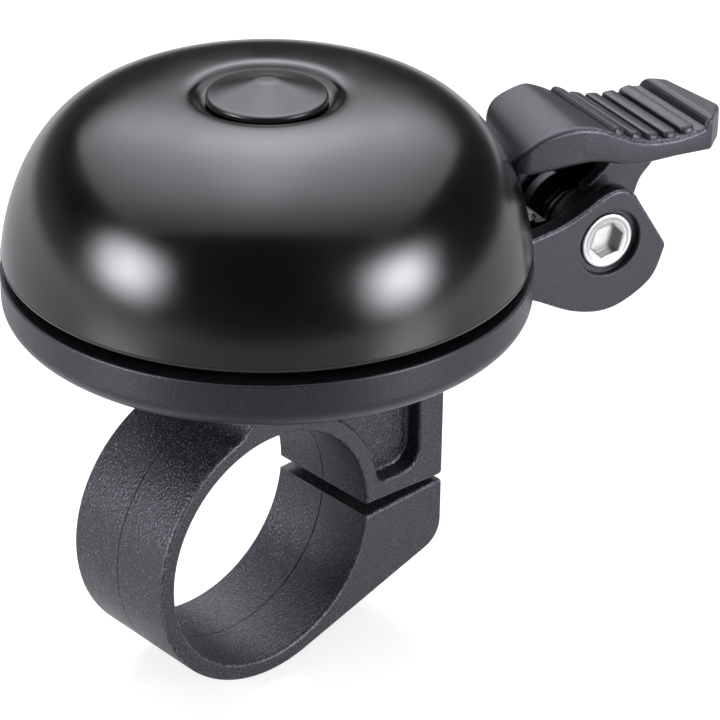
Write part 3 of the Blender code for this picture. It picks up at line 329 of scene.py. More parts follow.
def inset(outline, by):
    """Return an outline moved inwards, or outwards when negative."""
    area = sum(a[0] * b[1] - b[0] * a[1] for a, b in zip(outline, outline[1:] + outline[:1]))
    side = 1.0 if area > 0 else -1.0
    result = []
    for i, point in enumerate(outline):
        here = Vector(point)
        along = (here - Vector(outline[i - 1])).normalized()
        onward = (Vector(outline[(i + 1) % len(outline)]) - here).normalized()
        normal = Vector((-along.y - onward.y, along.x + onward.x)).normalized() * side
        spread = max(0.5, math.sqrt(max(0.0, (1 + along.dot(onward)) / 2)))
        result.append(tuple(here + normal * by / spread))
    return result


def circle(radius, steps=64):
    """Return the outline of a circle."""
    return arc((0.0, 0.0), radius, 0.0, 2 * math.pi * (1 - 1 / steps), steps - 1)


def hexagon(flats):
    """Return the outline of a hexagon from the distance across its flats."""
    return circle(flats / math.sqrt(3), 6)


def mesh_from(name, points, faces, rub_and_highlight=None):
    """Return a closed mesh with outward normals, and how far each point is painted pale, partly as rubbed wear and
    partly as painted highlight.
    """
    mesh = bpy.data.meshes.new(name)
    mesh.from_pydata(points, [], faces)
    rubbed_and_highlit = mesh.attributes.new("rub_and_highlight", "FLOAT", "POINT")
    rubbed_and_highlit.data.foreach_set("value", rub_and_highlight or [0.0] * len(points))
    form = bmesh.new()
    form.from_mesh(mesh)
    bmesh.ops.remove_doubles(form, verts=form.verts, dist=SAME_POINT)
    bmesh.ops.recalc_face_normals(form, faces=form.faces)
    form.to_mesh(mesh)
    form.free()
    return mesh


def ringed(rings, count):
    """Return the faces of a skin over rings of points, closed at both ends."""
    faces = []
    for low in range(0, (rings - 1) * count, count):
        for i in range(count):
            j = (i + 1) % count
            faces.append((low + i, low + j, low + count + j, low + count + i))
    return faces + [tuple(range(count)), tuple(range((rings - 1) * count, rings * count))]


def layers(name, outline, stack):
    """Return an upright outline, in X and Z, run along Y through layers of place, inset, and pale edge paint for
    rubbing and painted highlight.
    """
    points, rub_and_highlight = [], []
    for place, by, rubbed_and_highlit in stack:
        points += [(x, place, z) for x, z in (inset(outline, by) if by else outline)]
        rub_and_highlight += [rubbed_and_highlit] * len(outline)
    return mesh_from(name, points, ringed(len(stack), len(outline)), rub_and_highlight)


def straight(name, outline, low, high):
    """Return an upright outline run straight along Y."""
    return layers(name, outline, [(low, 0.0, 0.0), (high, 0.0, 0.0)])


def edged(low, high, edge, steps=4):
    """Return the layers of a plate with rounded edges, which are painted pale, partly as rubbed wear and partly as
    painted highlight.
    """
    turn = [(edge * (1 - math.cos(a)), edge * (1 - math.sin(a)), math.sin(2 * a)) for a in quarter(steps)]
    first = [(low + depth, by, rubbed_and_highlit) for depth, by, rubbed_and_highlit in turn]
    last = [(high - depth, by, rubbed_and_highlit) for depth, by, rubbed_and_highlit in turn]
    return first + last[::-1]


def sunk(mouth, floor, flare, fillet, steps=4):
    """Return the layers of a cutter that rounds its mouth over and fillets its floor."""
    way = 1.0 if floor > mouth else -1.0
    turn = quarter(steps)
    stack = [(mouth - way * flare, -flare, 0.0)]
    stack += [(mouth + way * flare * math.sin(a), -flare * (1 - math.sin(a)) ** 2, 0.0) for a in turn]
    stack += [(floor - way * fillet * (1 - math.sin(a)), fillet * (1 - math.cos(a)), 0.0) for a in turn]
    return stack


def evaluated(item):
    """Return the mesh that an object's modifiers make, and remove the object."""
    bpy.context.view_layer.update()
    mesh = bpy.data.meshes.new_from_object(item.evaluated_get(bpy.context.evaluated_depsgraph_get()))
    bpy.data.objects.remove(item)
    return mesh


def working(name, mesh):
    """Return an object that holds a mesh while it is worked on."""
    item = bpy.data.objects.new(name, mesh)
    bpy.context.scene.collection.objects.link(item)
    return item


def cut(mesh, *cutters):
    """Return a mesh with others taken out of it, and no pale edge paint where they were."""
    known = KDTree(len(mesh.vertices))
    for vertex in mesh.vertices:
        known.insert(vertex.co, vertex.index)
    known.balance()
    rubbed_and_highlit = [value.value for value in mesh.attributes["rub_and_highlight"].data] if "rub_and_highlight" in mesh.attributes else []
    item = working("cut", mesh)
    others = [working("cutter", other) for other in cutters]
    for other in others:
        step = item.modifiers.new("cut", "BOOLEAN")
        step.operation = "DIFFERENCE"
        step.object = other
        step.solver = "EXACT"
    result = evaluated(item)
    for other in others:
        bpy.data.objects.remove(other)
    if not result.polygons:
        raise RuntimeError(f"nothing is left of {mesh.name} after its cut")
    if "rub_and_highlight" in result.attributes:
        result.attributes.remove(result.attributes["rub_and_highlight"])
    rub_and_highlight = result.attributes.new("rub_and_highlight", "FLOAT", "POINT")
    for vertex in result.vertices:
        _, index, distance = known.find(vertex.co)
        rub_and_highlight.data[vertex.index].value = rubbed_and_highlit[index] if rubbed_and_highlit and distance < NEAR_POINT else 0.0
    return result


def joined(name, *meshes):
    """Return several meshes as one."""
    form = bmesh.new()
    for mesh in meshes:
        form.from_mesh(mesh)
    result = bpy.data.meshes.new(name)
    form.to_mesh(result)
    form.free()
    return result


def moved(mesh, matrix):
    """Return a mesh after moving it by a matrix."""
    mesh.transform(matrix)
    return mesh


def feed(tree, node, feeds):
    """Feed a node's inputs, by name or in their order, with values, sockets, or nodes for their first live output."""
    for name, value in feeds.items() if isinstance(feeds, dict) else enumerate(feeds):
        if isinstance(value, bpy.types.Node):
            value = next(socket for socket in value.outputs if socket.enabled)
        if isinstance(value, bpy.types.NodeSocket):
            tree.links.new(value, node.inputs[name])
        else:
            node.inputs[name].default_value = value


def add(tree, kind, feeds=(), **settings):
    """Add a node with its settings and what feeds it."""
    node = tree.nodes.new(kind)
    for name, value in settings.items():
        setattr(node, name, value)
    feed(tree, node, feeds)
    return node


def tree_start(name, **inputs):
    """Return a new geometry tree, and the sockets of the geometry and the named inputs that it is given."""
    tree = bpy.data.node_groups.new(name, "GeometryNodeTree")
    for key, kind in {"Geometry": "Geometry", **inputs}.items():
        tree.interface.new_socket(key.replace("_", " "), in_out="INPUT", socket_type="NodeSocket" + kind)
    tree.interface.new_socket("Geometry", in_out="OUTPUT", socket_type="NodeSocketGeometry")
    return tree, add(tree, "NodeGroupInput").outputs


def tree_end(tree, geometry, material):
    """End a geometry tree in plain geometry with its material."""
    plain = add(tree, "GeometryNodeRealizeInstances", {"Geometry": geometry})
    painted = add(tree, "GeometryNodeSetMaterial", {"Geometry": plain, "Material": material})
    add(tree, "NodeGroupOutput", {"Geometry": painted})


def turning_tree():
    """Geometry tree that turns a profile about the upright axis."""
    tree, given = tree_start("turn_profile", Steps="Int", Lathe_radius="Float", Finish="Material")
    profile = add(tree, "GeometryNodeMeshToCurve", {"Mesh": given["Geometry"]})
    feeds = {"Resolution": given["Steps"], "Radius": given["Lathe radius"]}
    path = add(tree, "GeometryNodeCurvePrimitiveCircle", feeds, mode="RADIUS")
    turned_skin = add(tree, "GeometryNodeCurveToMesh", {"Curve": path, "Profile Curve": profile})
    merged = add(tree, "GeometryNodeMergeByDistance", {"Geometry": turned_skin, "Distance": NEAR_POINT})
    tree_end(tree, merged, given["Finish"])
    return tree


def grown(name, mesh, tree, **values):
    """Return the plain mesh that a geometry tree makes from a mesh and its named inputs."""
    item = working(name, mesh)
    step = item.modifiers.new(name, "NODES")
    step.node_group = tree
    for socket in tree.interface.items_tree:
        key = socket.name.replace(" ", "_")
        if socket.in_out == "INPUT" and key in values:
            step[socket.identifier] = values[key]
    return evaluated(item)


def turned(name, profile, material, steps):
    """Return a profile of radius and height, closed or with both ends on the axis, turned about the upright axis."""
    lathe = 10 * MM
    mesh = bpy.data.meshes.new(name)
    edges = [(i, i + 1) for i in range(len(profile) - 1)]
    if profile[0][0] > 0 or profile[-1][0] > 0:
        edges.append((len(profile) - 1, 0))
    mesh.from_pydata([(r - lathe, -z, 0.0) for r, z in profile], edges, [])
    tree = bpy.data.node_groups.get("turn_profile") or turning_tree()
    made = grown(name, mesh, tree, Steps=steps, Lathe_radius=lathe, Finish=material)
    points = [tuple(v.co) for v in made.vertices]
    return mesh_from(name, points, [tuple(p.vertices) for p in made.polygons])


def piece(name, mesh, body, slot, *nodes):
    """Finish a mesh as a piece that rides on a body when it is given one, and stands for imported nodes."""
    mesh.materials.clear()
    mesh.materials.append(finish(slot))
    mesh.shade_smooth()
    mesh.set_sharp_from_angle(angle=SHARP_ANGLE)
    item = working(name, mesh)
    weights = item.modifiers.new("weights", "WEIGHTED_NORMAL")
    weights.keep_sharp = True
    weights.weight = FACE_WEIGHT
    item = working(name, evaluated(item))
    item.data.name = name
    if body:
        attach(item, body)
    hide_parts(*nodes)
    return item


def principled(name):
    """Return a new material's tree and its shader, with Object coordinates."""
    made = bpy.data.materials.new(name)
    made.use_nodes = True
    tree = made.node_tree
    place = add(tree, "ShaderNodeTexCoord").outputs["Object"]
    return made, tree, tree.nodes["Principled BSDF"], place


def per_mm(size):
    """Return the scale of a pattern whose features have a size in millimetres."""
    return 1.0 / (size * MM)


def gloss_enamel(name, shade, roughness):
    """Black stove enamel: deep gloss, the softest orange peel, and a little dust that dulls it in places."""
    made, tree, shader, place = principled(name)
    dust = add(tree, "ShaderNodeTexNoise", {"Vector": place, "Scale": per_mm(6.0), "Detail": 4.0})
    dulled = add(tree, "ShaderNodeMapRange", (dust, 0.3, 0.75, roughness - 0.03, roughness + 0.05))
    peel = add(tree, "ShaderNodeTexNoise", {"Vector": place, "Scale": per_mm(1.4), "Detail": 1.0})
    bump = add(tree, "ShaderNodeBump", {"Height": peel, "Strength": 0.06, "Distance": 0.04 * MM})
    feed(tree, shader, {"Base Color": (*shade, 1.0), "Roughness": dulled, "Normal": bump})
    return made


def grained_moulding(name, shade, grain, depth, roughness, painted_glint, rub_and_highlight_amount):
    """Black moulded nylon: pebbled grain, painted glints as pale specks in its colour, and edges painted pale, partly
    as rubbed wear and partly as painted highlight.
    """
    # The real grain and rubbed patches are too fine to show, so they are drawn coarser, and so are the pale specks of
    # painted glint.
    made, tree, shader, place = principled(name)
    rub_and_highlight = (*bpy.context.scene.bell_colours.rub_and_highlight, 1.0)
    pebbles = add(tree, "ShaderNodeTexNoise", {"Vector": place, "Scale": per_mm(grain), "Detail": 3.0})
    bump = add(tree, "ShaderNodeBump", {"Height": pebbles, "Strength": 1.0, "Distance": depth * MM})
    polished = add(tree, "ShaderNodeMapRange", (pebbles, 0.4, 0.7, roughness, roughness * 0.7))
    # Pale specks of painted glint, mixed into the colour
    painted_glint_noise = add(tree, "ShaderNodeTexNoise", {"Vector": place, "Scale": per_mm(0.14), "Detail": 1.0})
    painted_glints = add(tree, "ShaderNodeMapRange", (painted_glint_noise, 0.57, 0.74, 0.0, painted_glint))
    speckled = add(tree, "ShaderNodeMix", {FACTOR: painted_glints, MIX_A: (*shade, 1.0), MIX_B: rub_and_highlight}, data_type="RGBA")
    # Pale edges from the point attribute: partly rubbed wear, partly painted highlight
    edges = add(tree, "ShaderNodeAttribute", attribute_name="rub_and_highlight")
    patches = add(tree, "ShaderNodeTexNoise", {"Vector": place, "Scale": per_mm(0.24), "Detail": 4.0})
    patchy = add(tree, "ShaderNodeMapRange", (patches, 0.45, 0.7, 0.05 * rub_and_highlight_amount, rub_and_highlight_amount))
    amount = add(tree, "ShaderNodeMath", (edges.outputs["Fac"], patchy), operation="MULTIPLY", use_clamp=True)
    rubbed_and_highlit = add(tree, "ShaderNodeMix", {FACTOR: amount, MIX_A: speckled, MIX_B: rub_and_highlight}, data_type="RGBA")
    feed(tree, shader, {"Base Color": rubbed_and_highlit, "Roughness": polished, "Normal": bump})
    feed(tree, shader, {"Specular IOR Level": 0.55, "Specular Tint": COOL})
    return made


def plated_steel(name, shade, roughness, scuff):
    """Plated steel: clean metal with fine turning marks and a few duller handling marks."""
    # Real turning marks are too fine to show, so they are drawn coarser.
    made, tree, shader, place = principled(name)
    marks = add(tree, "ShaderNodeTexNoise", {"Vector": place, "Scale": per_mm(0.8), "Detail": 4.0})
    dulled = add(tree, "ShaderNodeMapRange", (marks, 0.3, 0.75, roughness, roughness + scuff))
    fine = add(tree, "ShaderNodeTexNoise", {"Vector": place, "Scale": per_mm(0.25), "Detail": 2.0})
    bump = add(tree, "ShaderNodeBump", {"Height": fine, "Strength": 0.15, "Distance": 0.01 * MM})
    feed(tree, shader, {"Base Color": (*shade, 1.0), "Metallic": 1.0, "Roughness": dulled, "Normal": bump})
    return made


def natural_nylon(name, shade):
    """Milky nylon washer: a soft waxy white with faint clouding."""
    made, tree, shader, place = principled(name)
    clouds = add(tree, "ShaderNodeTexNoise", {"Vector": place, "Scale": per_mm(1.5), "Detail": 3.0})
    darker = tuple(c * 0.85 for c in shade)
    feeds = {FACTOR: clouds, MIX_A: (*darker, 1.0), MIX_B: (*shade, 1.0)}
    clouded = add(tree, "ShaderNodeMix", feeds, data_type="RGBA")
    waxy = add(tree, "ShaderNodeMapRange", (clouds, 0.3, 0.7, 0.4, 0.55))
    feed(tree, shader, {"Base Color": clouded, "Roughness": waxy})
    return made


FINISHES = {
    "dome_black": (gloss_enamel, "gloss_black_enamel", "enamel", {"roughness": 0.2}),
    "cap_black": (gloss_enamel, "black_cap_enamel", "cap", {"roughness": 0.3}),
    "tray_plastic": (
        grained_moulding,
        "satin_black_abs",
        "tray",
        {"grain": 0.2, "depth": 0.022, "roughness": 0.4, "painted_glint": 0.08, "rub_and_highlight_amount": 0.7},
    ),
    "clamp_plastic": (
        grained_moulding,
        "glass_filled_nylon",
        "clamp",
        {"grain": 0.28, "depth": 0.085, "roughness": 0.42, "painted_glint": 0.6, "rub_and_highlight_amount": 0.5},
    ),
    "lever_plastic": (
        grained_moulding,
        "charcoal_nylon",
        "lever",
        {"grain": 0.2, "depth": 0.025, "roughness": 0.44, "painted_glint": 0.09, "rub_and_highlight_amount": 0.5},
    ),
    "bright_steel": (plated_steel, "bright_plated_steel", "bright", {"roughness": 0.32, "scuff": 0.1}),
    "zinc_steel": (plated_steel, "zinc_plated_steel", "zinc", {"roughness": 0.3, "scuff": 0.15}),
    "spring_steel": (plated_steel, "oiled_spring_steel", "spring", {"roughness": 0.4, "scuff": 0.1}),
    "nylon": (natural_nylon, "natural_nylon", "nylon", {}),
}
made_finishes = {}


def finish(slot):
    """Return the material of a slot, made once."""
    if slot not in made_finishes:
        maker, name, shade, values = FINISHES[slot]
        made_finishes[slot] = maker(name, getattr(bpy.context.scene.bell_colours, shade), **values)
    return made_finishes[slot]


def lever_place():
    """Return the place of the lever's pivot."""
    dome, lever = bpy.context.scene.bell_dome, bpy.context.scene.bell_lever
    return (
        Matrix.Translation((dome.offset, 0.0, lever.pivot_level))
        @ Matrix.Rotation(lever.turn, 4, "Z")
        @ Matrix.Translation((lever.reach, 0.0, 0.0))
    )


class BELL_OT_dome(bpy.types.Operator):
    """Spin the dome and its cap nut"""

    bl_idname = "bell.dome"
    bl_label = "Dome and cap"

    def skin(self, s, radius, height, end, steps):
        """Points of the dome's superellipse from a radius out to the rim."""
        last = math.acos((end / radius) ** (s.crown_power / 2))
        turn = [last * (1 - i / steps) for i in range(steps + 1)]
        across, up = 2 / s.crown_power, 2 / s.flank_power
        return [(radius * math.cos(a) ** across, height * math.sin(a) ** up) for a in turn]

    def dome(self, s):
        """Profile of the dome, from its hole over recess, crown and rim to its inside."""
        seat, bend = s.height - s.recess_depth, 0.45 * MM
        outer = self.skin(s, s.radius, s.height, s.recess_radius, 90)
        inner = self.skin(s, s.radius - s.wall, s.height - s.wall, s.recess_radius + s.wall, 40)
        lip = [p for p in outer if p[0] > s.recess_radius + bend and p[1] > s.rim_edge]
        middle = (s.radius - s.wall / 2, s.wall / 2)
        rim = arc(middle, s.wall / 2, 0.0, -math.pi, 10)
        # The recess's side, from its level floor up over the bend into the crown
        run, rise, steps = s.recess_radius - s.recess_floor, s.recess_depth, 6
        side = [(s.recess_floor - 0.7 * MM, seat), (s.recess_floor, seat + 0.05 * MM)]
        side += [(s.recess_floor + run * 0.5, seat + rise * 0.45), (s.recess_radius - 0.1 * MM, seat + rise * 0.86)]
        dish = smooth(side + lip[:2], steps)[:-steps]
        inside = [p for p in inner if p[1] > s.wall / 2]
        profile = [(s.hole, seat)] + dish + lip[1:] + rim + inside[::-1]
        profile += [(s.recess_floor + s.wall, seat - s.wall), (s.hole, seat - s.wall)]
        return [(r, z + s.rim_level) for r, z in profile]

    def cap(self, s):
        """Profile of the cap, from its apex over cone, skirt and sleeve to the end of its threaded hole."""
        edge = s.cap_bottom + s.cap_skirt
        apex = edge + s.cap_rise
        hole_end, hole_point = apex - 1.1 * MM, apex - 0.8 * MM
        run, steps = s.cap_radius - s.cap_edge - s.cap_flat, 12
        slope = (apex - edge) / run
        radii = [s.cap_flat + i / steps * run for i in range(steps)]
        cone = [(r, apex - (r - s.cap_flat) * slope) for r in radii]
        corner = arc((s.cap_radius - s.cap_edge, edge - s.cap_edge), s.cap_edge, math.pi / 2, 0.0, 6)
        top = [(0.0, apex), (s.cap_flat * 0.5, apex)]
        foot = [(s.cap_radius, s.cap_bottom), (s.sleeve_radius, s.cap_bottom), (s.sleeve_radius, s.sleeve_end)]
        bore = [(s.sleeve_bore, s.sleeve_end), (s.sleeve_bore, hole_end), (0.0, hole_point)]
        return top + cone + corner + foot + bore

    def execute(self, context):
        s = context.scene.bell_dome
        for name, profile, slot in (("dome", self.dome(s), "dome_black"), ("dome_cap", self.cap(s), "cap_black")):
            mesh = turned(name, profile, finish(slot), 192)
            moved(mesh, Matrix.Translation((s.offset, 0.0, 0.0)))
            piece("bell_" + name, mesh, "bell", slot, name)
        return {"FINISHED"}


class BELL_OT_tray(bpy.types.Operator):
    """Mould the tray with the two ears that carry the lever"""

    bl_idname = "bell.tray"
    bl_label = "Tray and ears"

    def rounding(self, s, radius, bottom):
        """Points of the lower rounding, from the wall in to the bottom."""
        depth = s.wall_end - bottom
        return [(radius - s.round_width * (1 - math.cos(a)), s.wall_end - depth * math.sin(a)) for a in quarter(20)]

    def tray(self, s):
        """Profile of the tray, from its lip over wall and underside to its boss and inside."""
        inner, floor = s.radius - s.shell, s.bottom + s.shell
        lip = arc((s.radius - s.lip, s.top - s.lip), s.lip, math.pi / 2, 0.0, 5)
        outside, inside = self.rounding(s, s.radius, s.bottom), self.rounding(s, inner, floor)
        middle = [(s.hole, s.bottom), (s.hole, s.boss_top), (s.boss_radius, s.boss_top), (s.boss_radius, floor)]
        return [(inner, s.top)] + lip + outside + middle + inside[::-1]

    def execute(self, context):
        s, lever = context.scene.bell_tray, context.scene.bell_lever
        notch_floor, notch_half = 0.2 * MM, 3.2 * MM
        boss_lap, boss_edge = 0.3 * MM, 0.2 * MM
        mouth, fillet = 0.15 * MM, 0.05 * MM
        body = turned("tray", self.tray(s), finish("tray_plastic"), 160)
        moved(body, Matrix.Translation((context.scene.bell_dome.offset, 0.0, 0.0)))
        wall = s.radius - lever.reach
        low, high = wall - 2 * s.shell, wall + s.shell
        top = s.top - lever.pivot_level
        outline = [(low, notch_floor), (high, notch_floor), (high, 2 * top), (low, 2 * top)]
        notch = straight("notch", outline, -notch_half, notch_half)
        place = lever_place()
        body = cut(body, moved(notch, place))
        ear = smooth(in_mm(EAR_CREST), 8) + smooth(in_mm(EAR_BELLY), 10)
        inner_face = s.ear_outer - s.ear_wall
        parts = [body]
        for side in (-1, 1):
            faces = sorted((side * inner_face, side * s.ear_outer))
            plate = layers("ear", ear, edged(*faces, s.ear_edge))
            faces = sorted((side * (inner_face + boss_lap), side * s.ear_inner))
            boss = layers("boss", circle(s.ear_boss), edged(*faces, boss_edge))
            way = side * s.ear_outer
            bore = circle(s.counterbore) if side < 0 else hexagon(s.nut_flats)
            seat = sunk(way, side * s.seat, mouth, fillet)
            if side < 0:
                ledge, step = way + s.ledge_depth, s.counterbore - s.head_hole
                seat = sunk(way, ledge, mouth, fillet) + [(ledge, step, 0.0), (-s.seat, step, 0.0)]
            reach = 2 * s.ear_outer
            hole = straight("hole", circle(s.pin_hole, 32), -reach, reach)
            parts.append(cut(plate, layers("seat", bore, seat)))
            parts.append(cut(boss, layers("seat", bore, seat), hole))
            for part in parts[-2:]:
                moved(part, place)
        mesh = joined("tray", *parts)
        piece("bell_tray", mesh, "bell", "tray_plastic", "base")
        return {"FINISHED"}


class BELL_OT_clamp(bpy.types.Operator):
    """Mould the split handlebar clamp"""

    bl_idname = "bell.clamp"
    bl_label = "Handlebar clamp"

    def outline(self, s):
        """Neck, band, lug, and the split through to the bore, in one outline seen along the handlebar."""
        slant, lip_edge, wall = math.radians(17.0), 0.5 * MM, 3 * MM
        back = -s.neck_back - s.neck_fillet
        fillet = (back, math.sqrt((s.ring + s.neck_fillet) ** 2 - back**2))
        path = [(s.reach, s.top), (-s.neck_back, s.top)]
        path += arc(fillet, s.neck_fillet, 0.0, math.atan2(-fillet[1], -fillet[0]), 12)
        path += arc((0.0, 0.0), s.ring, math.atan2(fillet[1], fillet[0]), 1.5 * math.pi + slant, 110)[1:]
        foot = path[-1]
        corner = foot[1] + (s.reach - foot[0]) * math.tan(slant)
        run = s.lug_corner * math.tan((math.pi / 2 - slant) / 2)
        path += arc((s.reach - s.lug_corner, corner + run), s.lug_corner, slant - math.pi / 2, 0.0, 14)
        half_out, half_in = s.split_outer / 2, s.split_inner / 2
        low, high = s.split_level - half_in, s.split_level + half_in
        low_x, high_x = (math.sqrt(s.bar**2 - z**2) for z in (low, high))
        # The split's lips, each from the block's outer wall round its edge into the split, or back
        lip = [(s.reach, s.split_level - wall, 0.0), (s.reach, s.split_level - half_out, lip_edge), (low_x, low, 0.0)]
        path += rounded(lip)[1:-1]
        start, end = math.atan2(low, low_x), math.atan2(high, high_x)
        path += arc((0.0, 0.0), s.bar, start, end - 2 * math.pi, 128)
        lip = [(high_x, high, 0.0), (s.reach, s.split_level + half_out, lip_edge), (s.reach, s.split_level + wall, 0.0)]
        return path + rounded(lip)[1:-1]

    def pocket(self, s):
        """Lightening pocket between the band, the block's outer wall and the flange under the tray."""
        top, wall, floor, toe = s.top - 2.0 * MM, s.reach - 3.4 * MM, 2.0 * MM, 1.2 * MM
        start, corner, top_corner = 8.0 * MM, 2.2 * MM, 0.6 * MM
        toe_x = math.sqrt((s.ring + toe) ** 2 - (floor + toe) ** 2)
        turn = math.atan2(floor + toe, toe_x)
        path = [(start, top)]
        path += arc((0.0, 0.0), s.ring, math.acos(start / s.ring), turn, 24)
        path += arc((toe_x, floor + toe), toe, math.pi + turn, 1.5 * math.pi, 8)[1:]
        path += arc((wall - corner, floor + corner), corner, -math.pi / 2, 0.0, 10)
        return path + arc((wall - top_corner, top - top_corner), top_corner, 0.0, math.pi / 2, 4)

    def execute(self, context):
        s, dome = context.scene.bell_clamp, context.scene.bell_dome
        half = s.width / 2
        mouth, fillet, slot_end = 0.35 * MM, 0.4 * MM, -3.55 * MM
        stack = edged(-half, half, s.edge)
        groove = [(-s.parting, 0.0, 0.0), (0.0, s.parting, 0.0), (s.parting, 0.0, 0.0)]
        middle = len(stack) // 2
        mesh = layers("clamp", self.outline(s), stack[:middle] + groove + stack[middle:])
        pocket = self.pocket(s)
        cutters = [
            layers("pocket", pocket, sunk(side * half, side * (half - s.pocket_depth), mouth, fillet))
            for side in (-1, 1)
        ]
        for bores, reach in ((BOLT_BORES, dome.offset), (SCREW_BORES, s.screw_reach)):
            for radius, low, high in bores:
                rod = straight("rod", circle(radius * MM, 48), low * MM, high * MM)
                cutters.append(moved(rod, Matrix.Translation((reach, 0.0, 0.0)) @ UPRIGHT))
        cutters.append(straight("nut_slot", in_mm(NUT_SLOT), slot_end, s.width))
        mesh = cut(mesh, *cutters)
        piece("bell_clamp", mesh, "bell", "clamp_plastic", "clamp")
        return {"FINISHED"}


def rib_tree():
    """Geometry tree that lays ribs side by side on the pad, each at the height and slope of the pad below it."""
    inputs = {"Pad": "Object", "Count": "Int", "First": "Float", "Pitch": "Float", "Above": "Float"}
    tree, given = tree_start("lay_ribs", **inputs, Finish="Material")
    start = add(tree, "ShaderNodeCombineXYZ", {"X": given["First"], "Z": given["Above"]})
    step = add(tree, "ShaderNodeCombineXYZ", {"X": given["Pitch"]})
    line = add(tree, "GeometryNodeMeshLine", {"Count": given["Count"], "Start Location": start, "Offset": step})
    pad = add(tree, "GeometryNodeObjectInfo", {"Object": given["Pad"]})
    feeds = {"Target Geometry": pad.outputs["Geometry"], "Ray Direction": (0.0, 0.0, -1.0), "Ray Length": 1.0}
    drop = add(tree, "GeometryNodeRaycast", feeds)
    lean = add(tree, "FunctionNodeAlignRotationToVector", {"Vector": drop.outputs["Hit Normal"]}, axis="Z")
    kept = add(tree, "GeometryNodeCaptureAttribute", {"Geometry": line})
    kept.capture_items.new("ROTATION", "Lean")
    feed(tree, kept, {"Lean": lean})
    feeds = {"Geometry": kept.outputs["Geometry"], "Position": drop.outputs["Hit Position"]}
    laid = add(tree, "GeometryNodeSetPosition", feeds)
    feeds = {"Points": laid, "Instance": given["Geometry"], "Rotation": kept.outputs["Lean"]}
    ribs = add(tree, "GeometryNodeInstanceOnPoints", feeds)
    tree_end(tree, ribs, given["Finish"])
    return tree


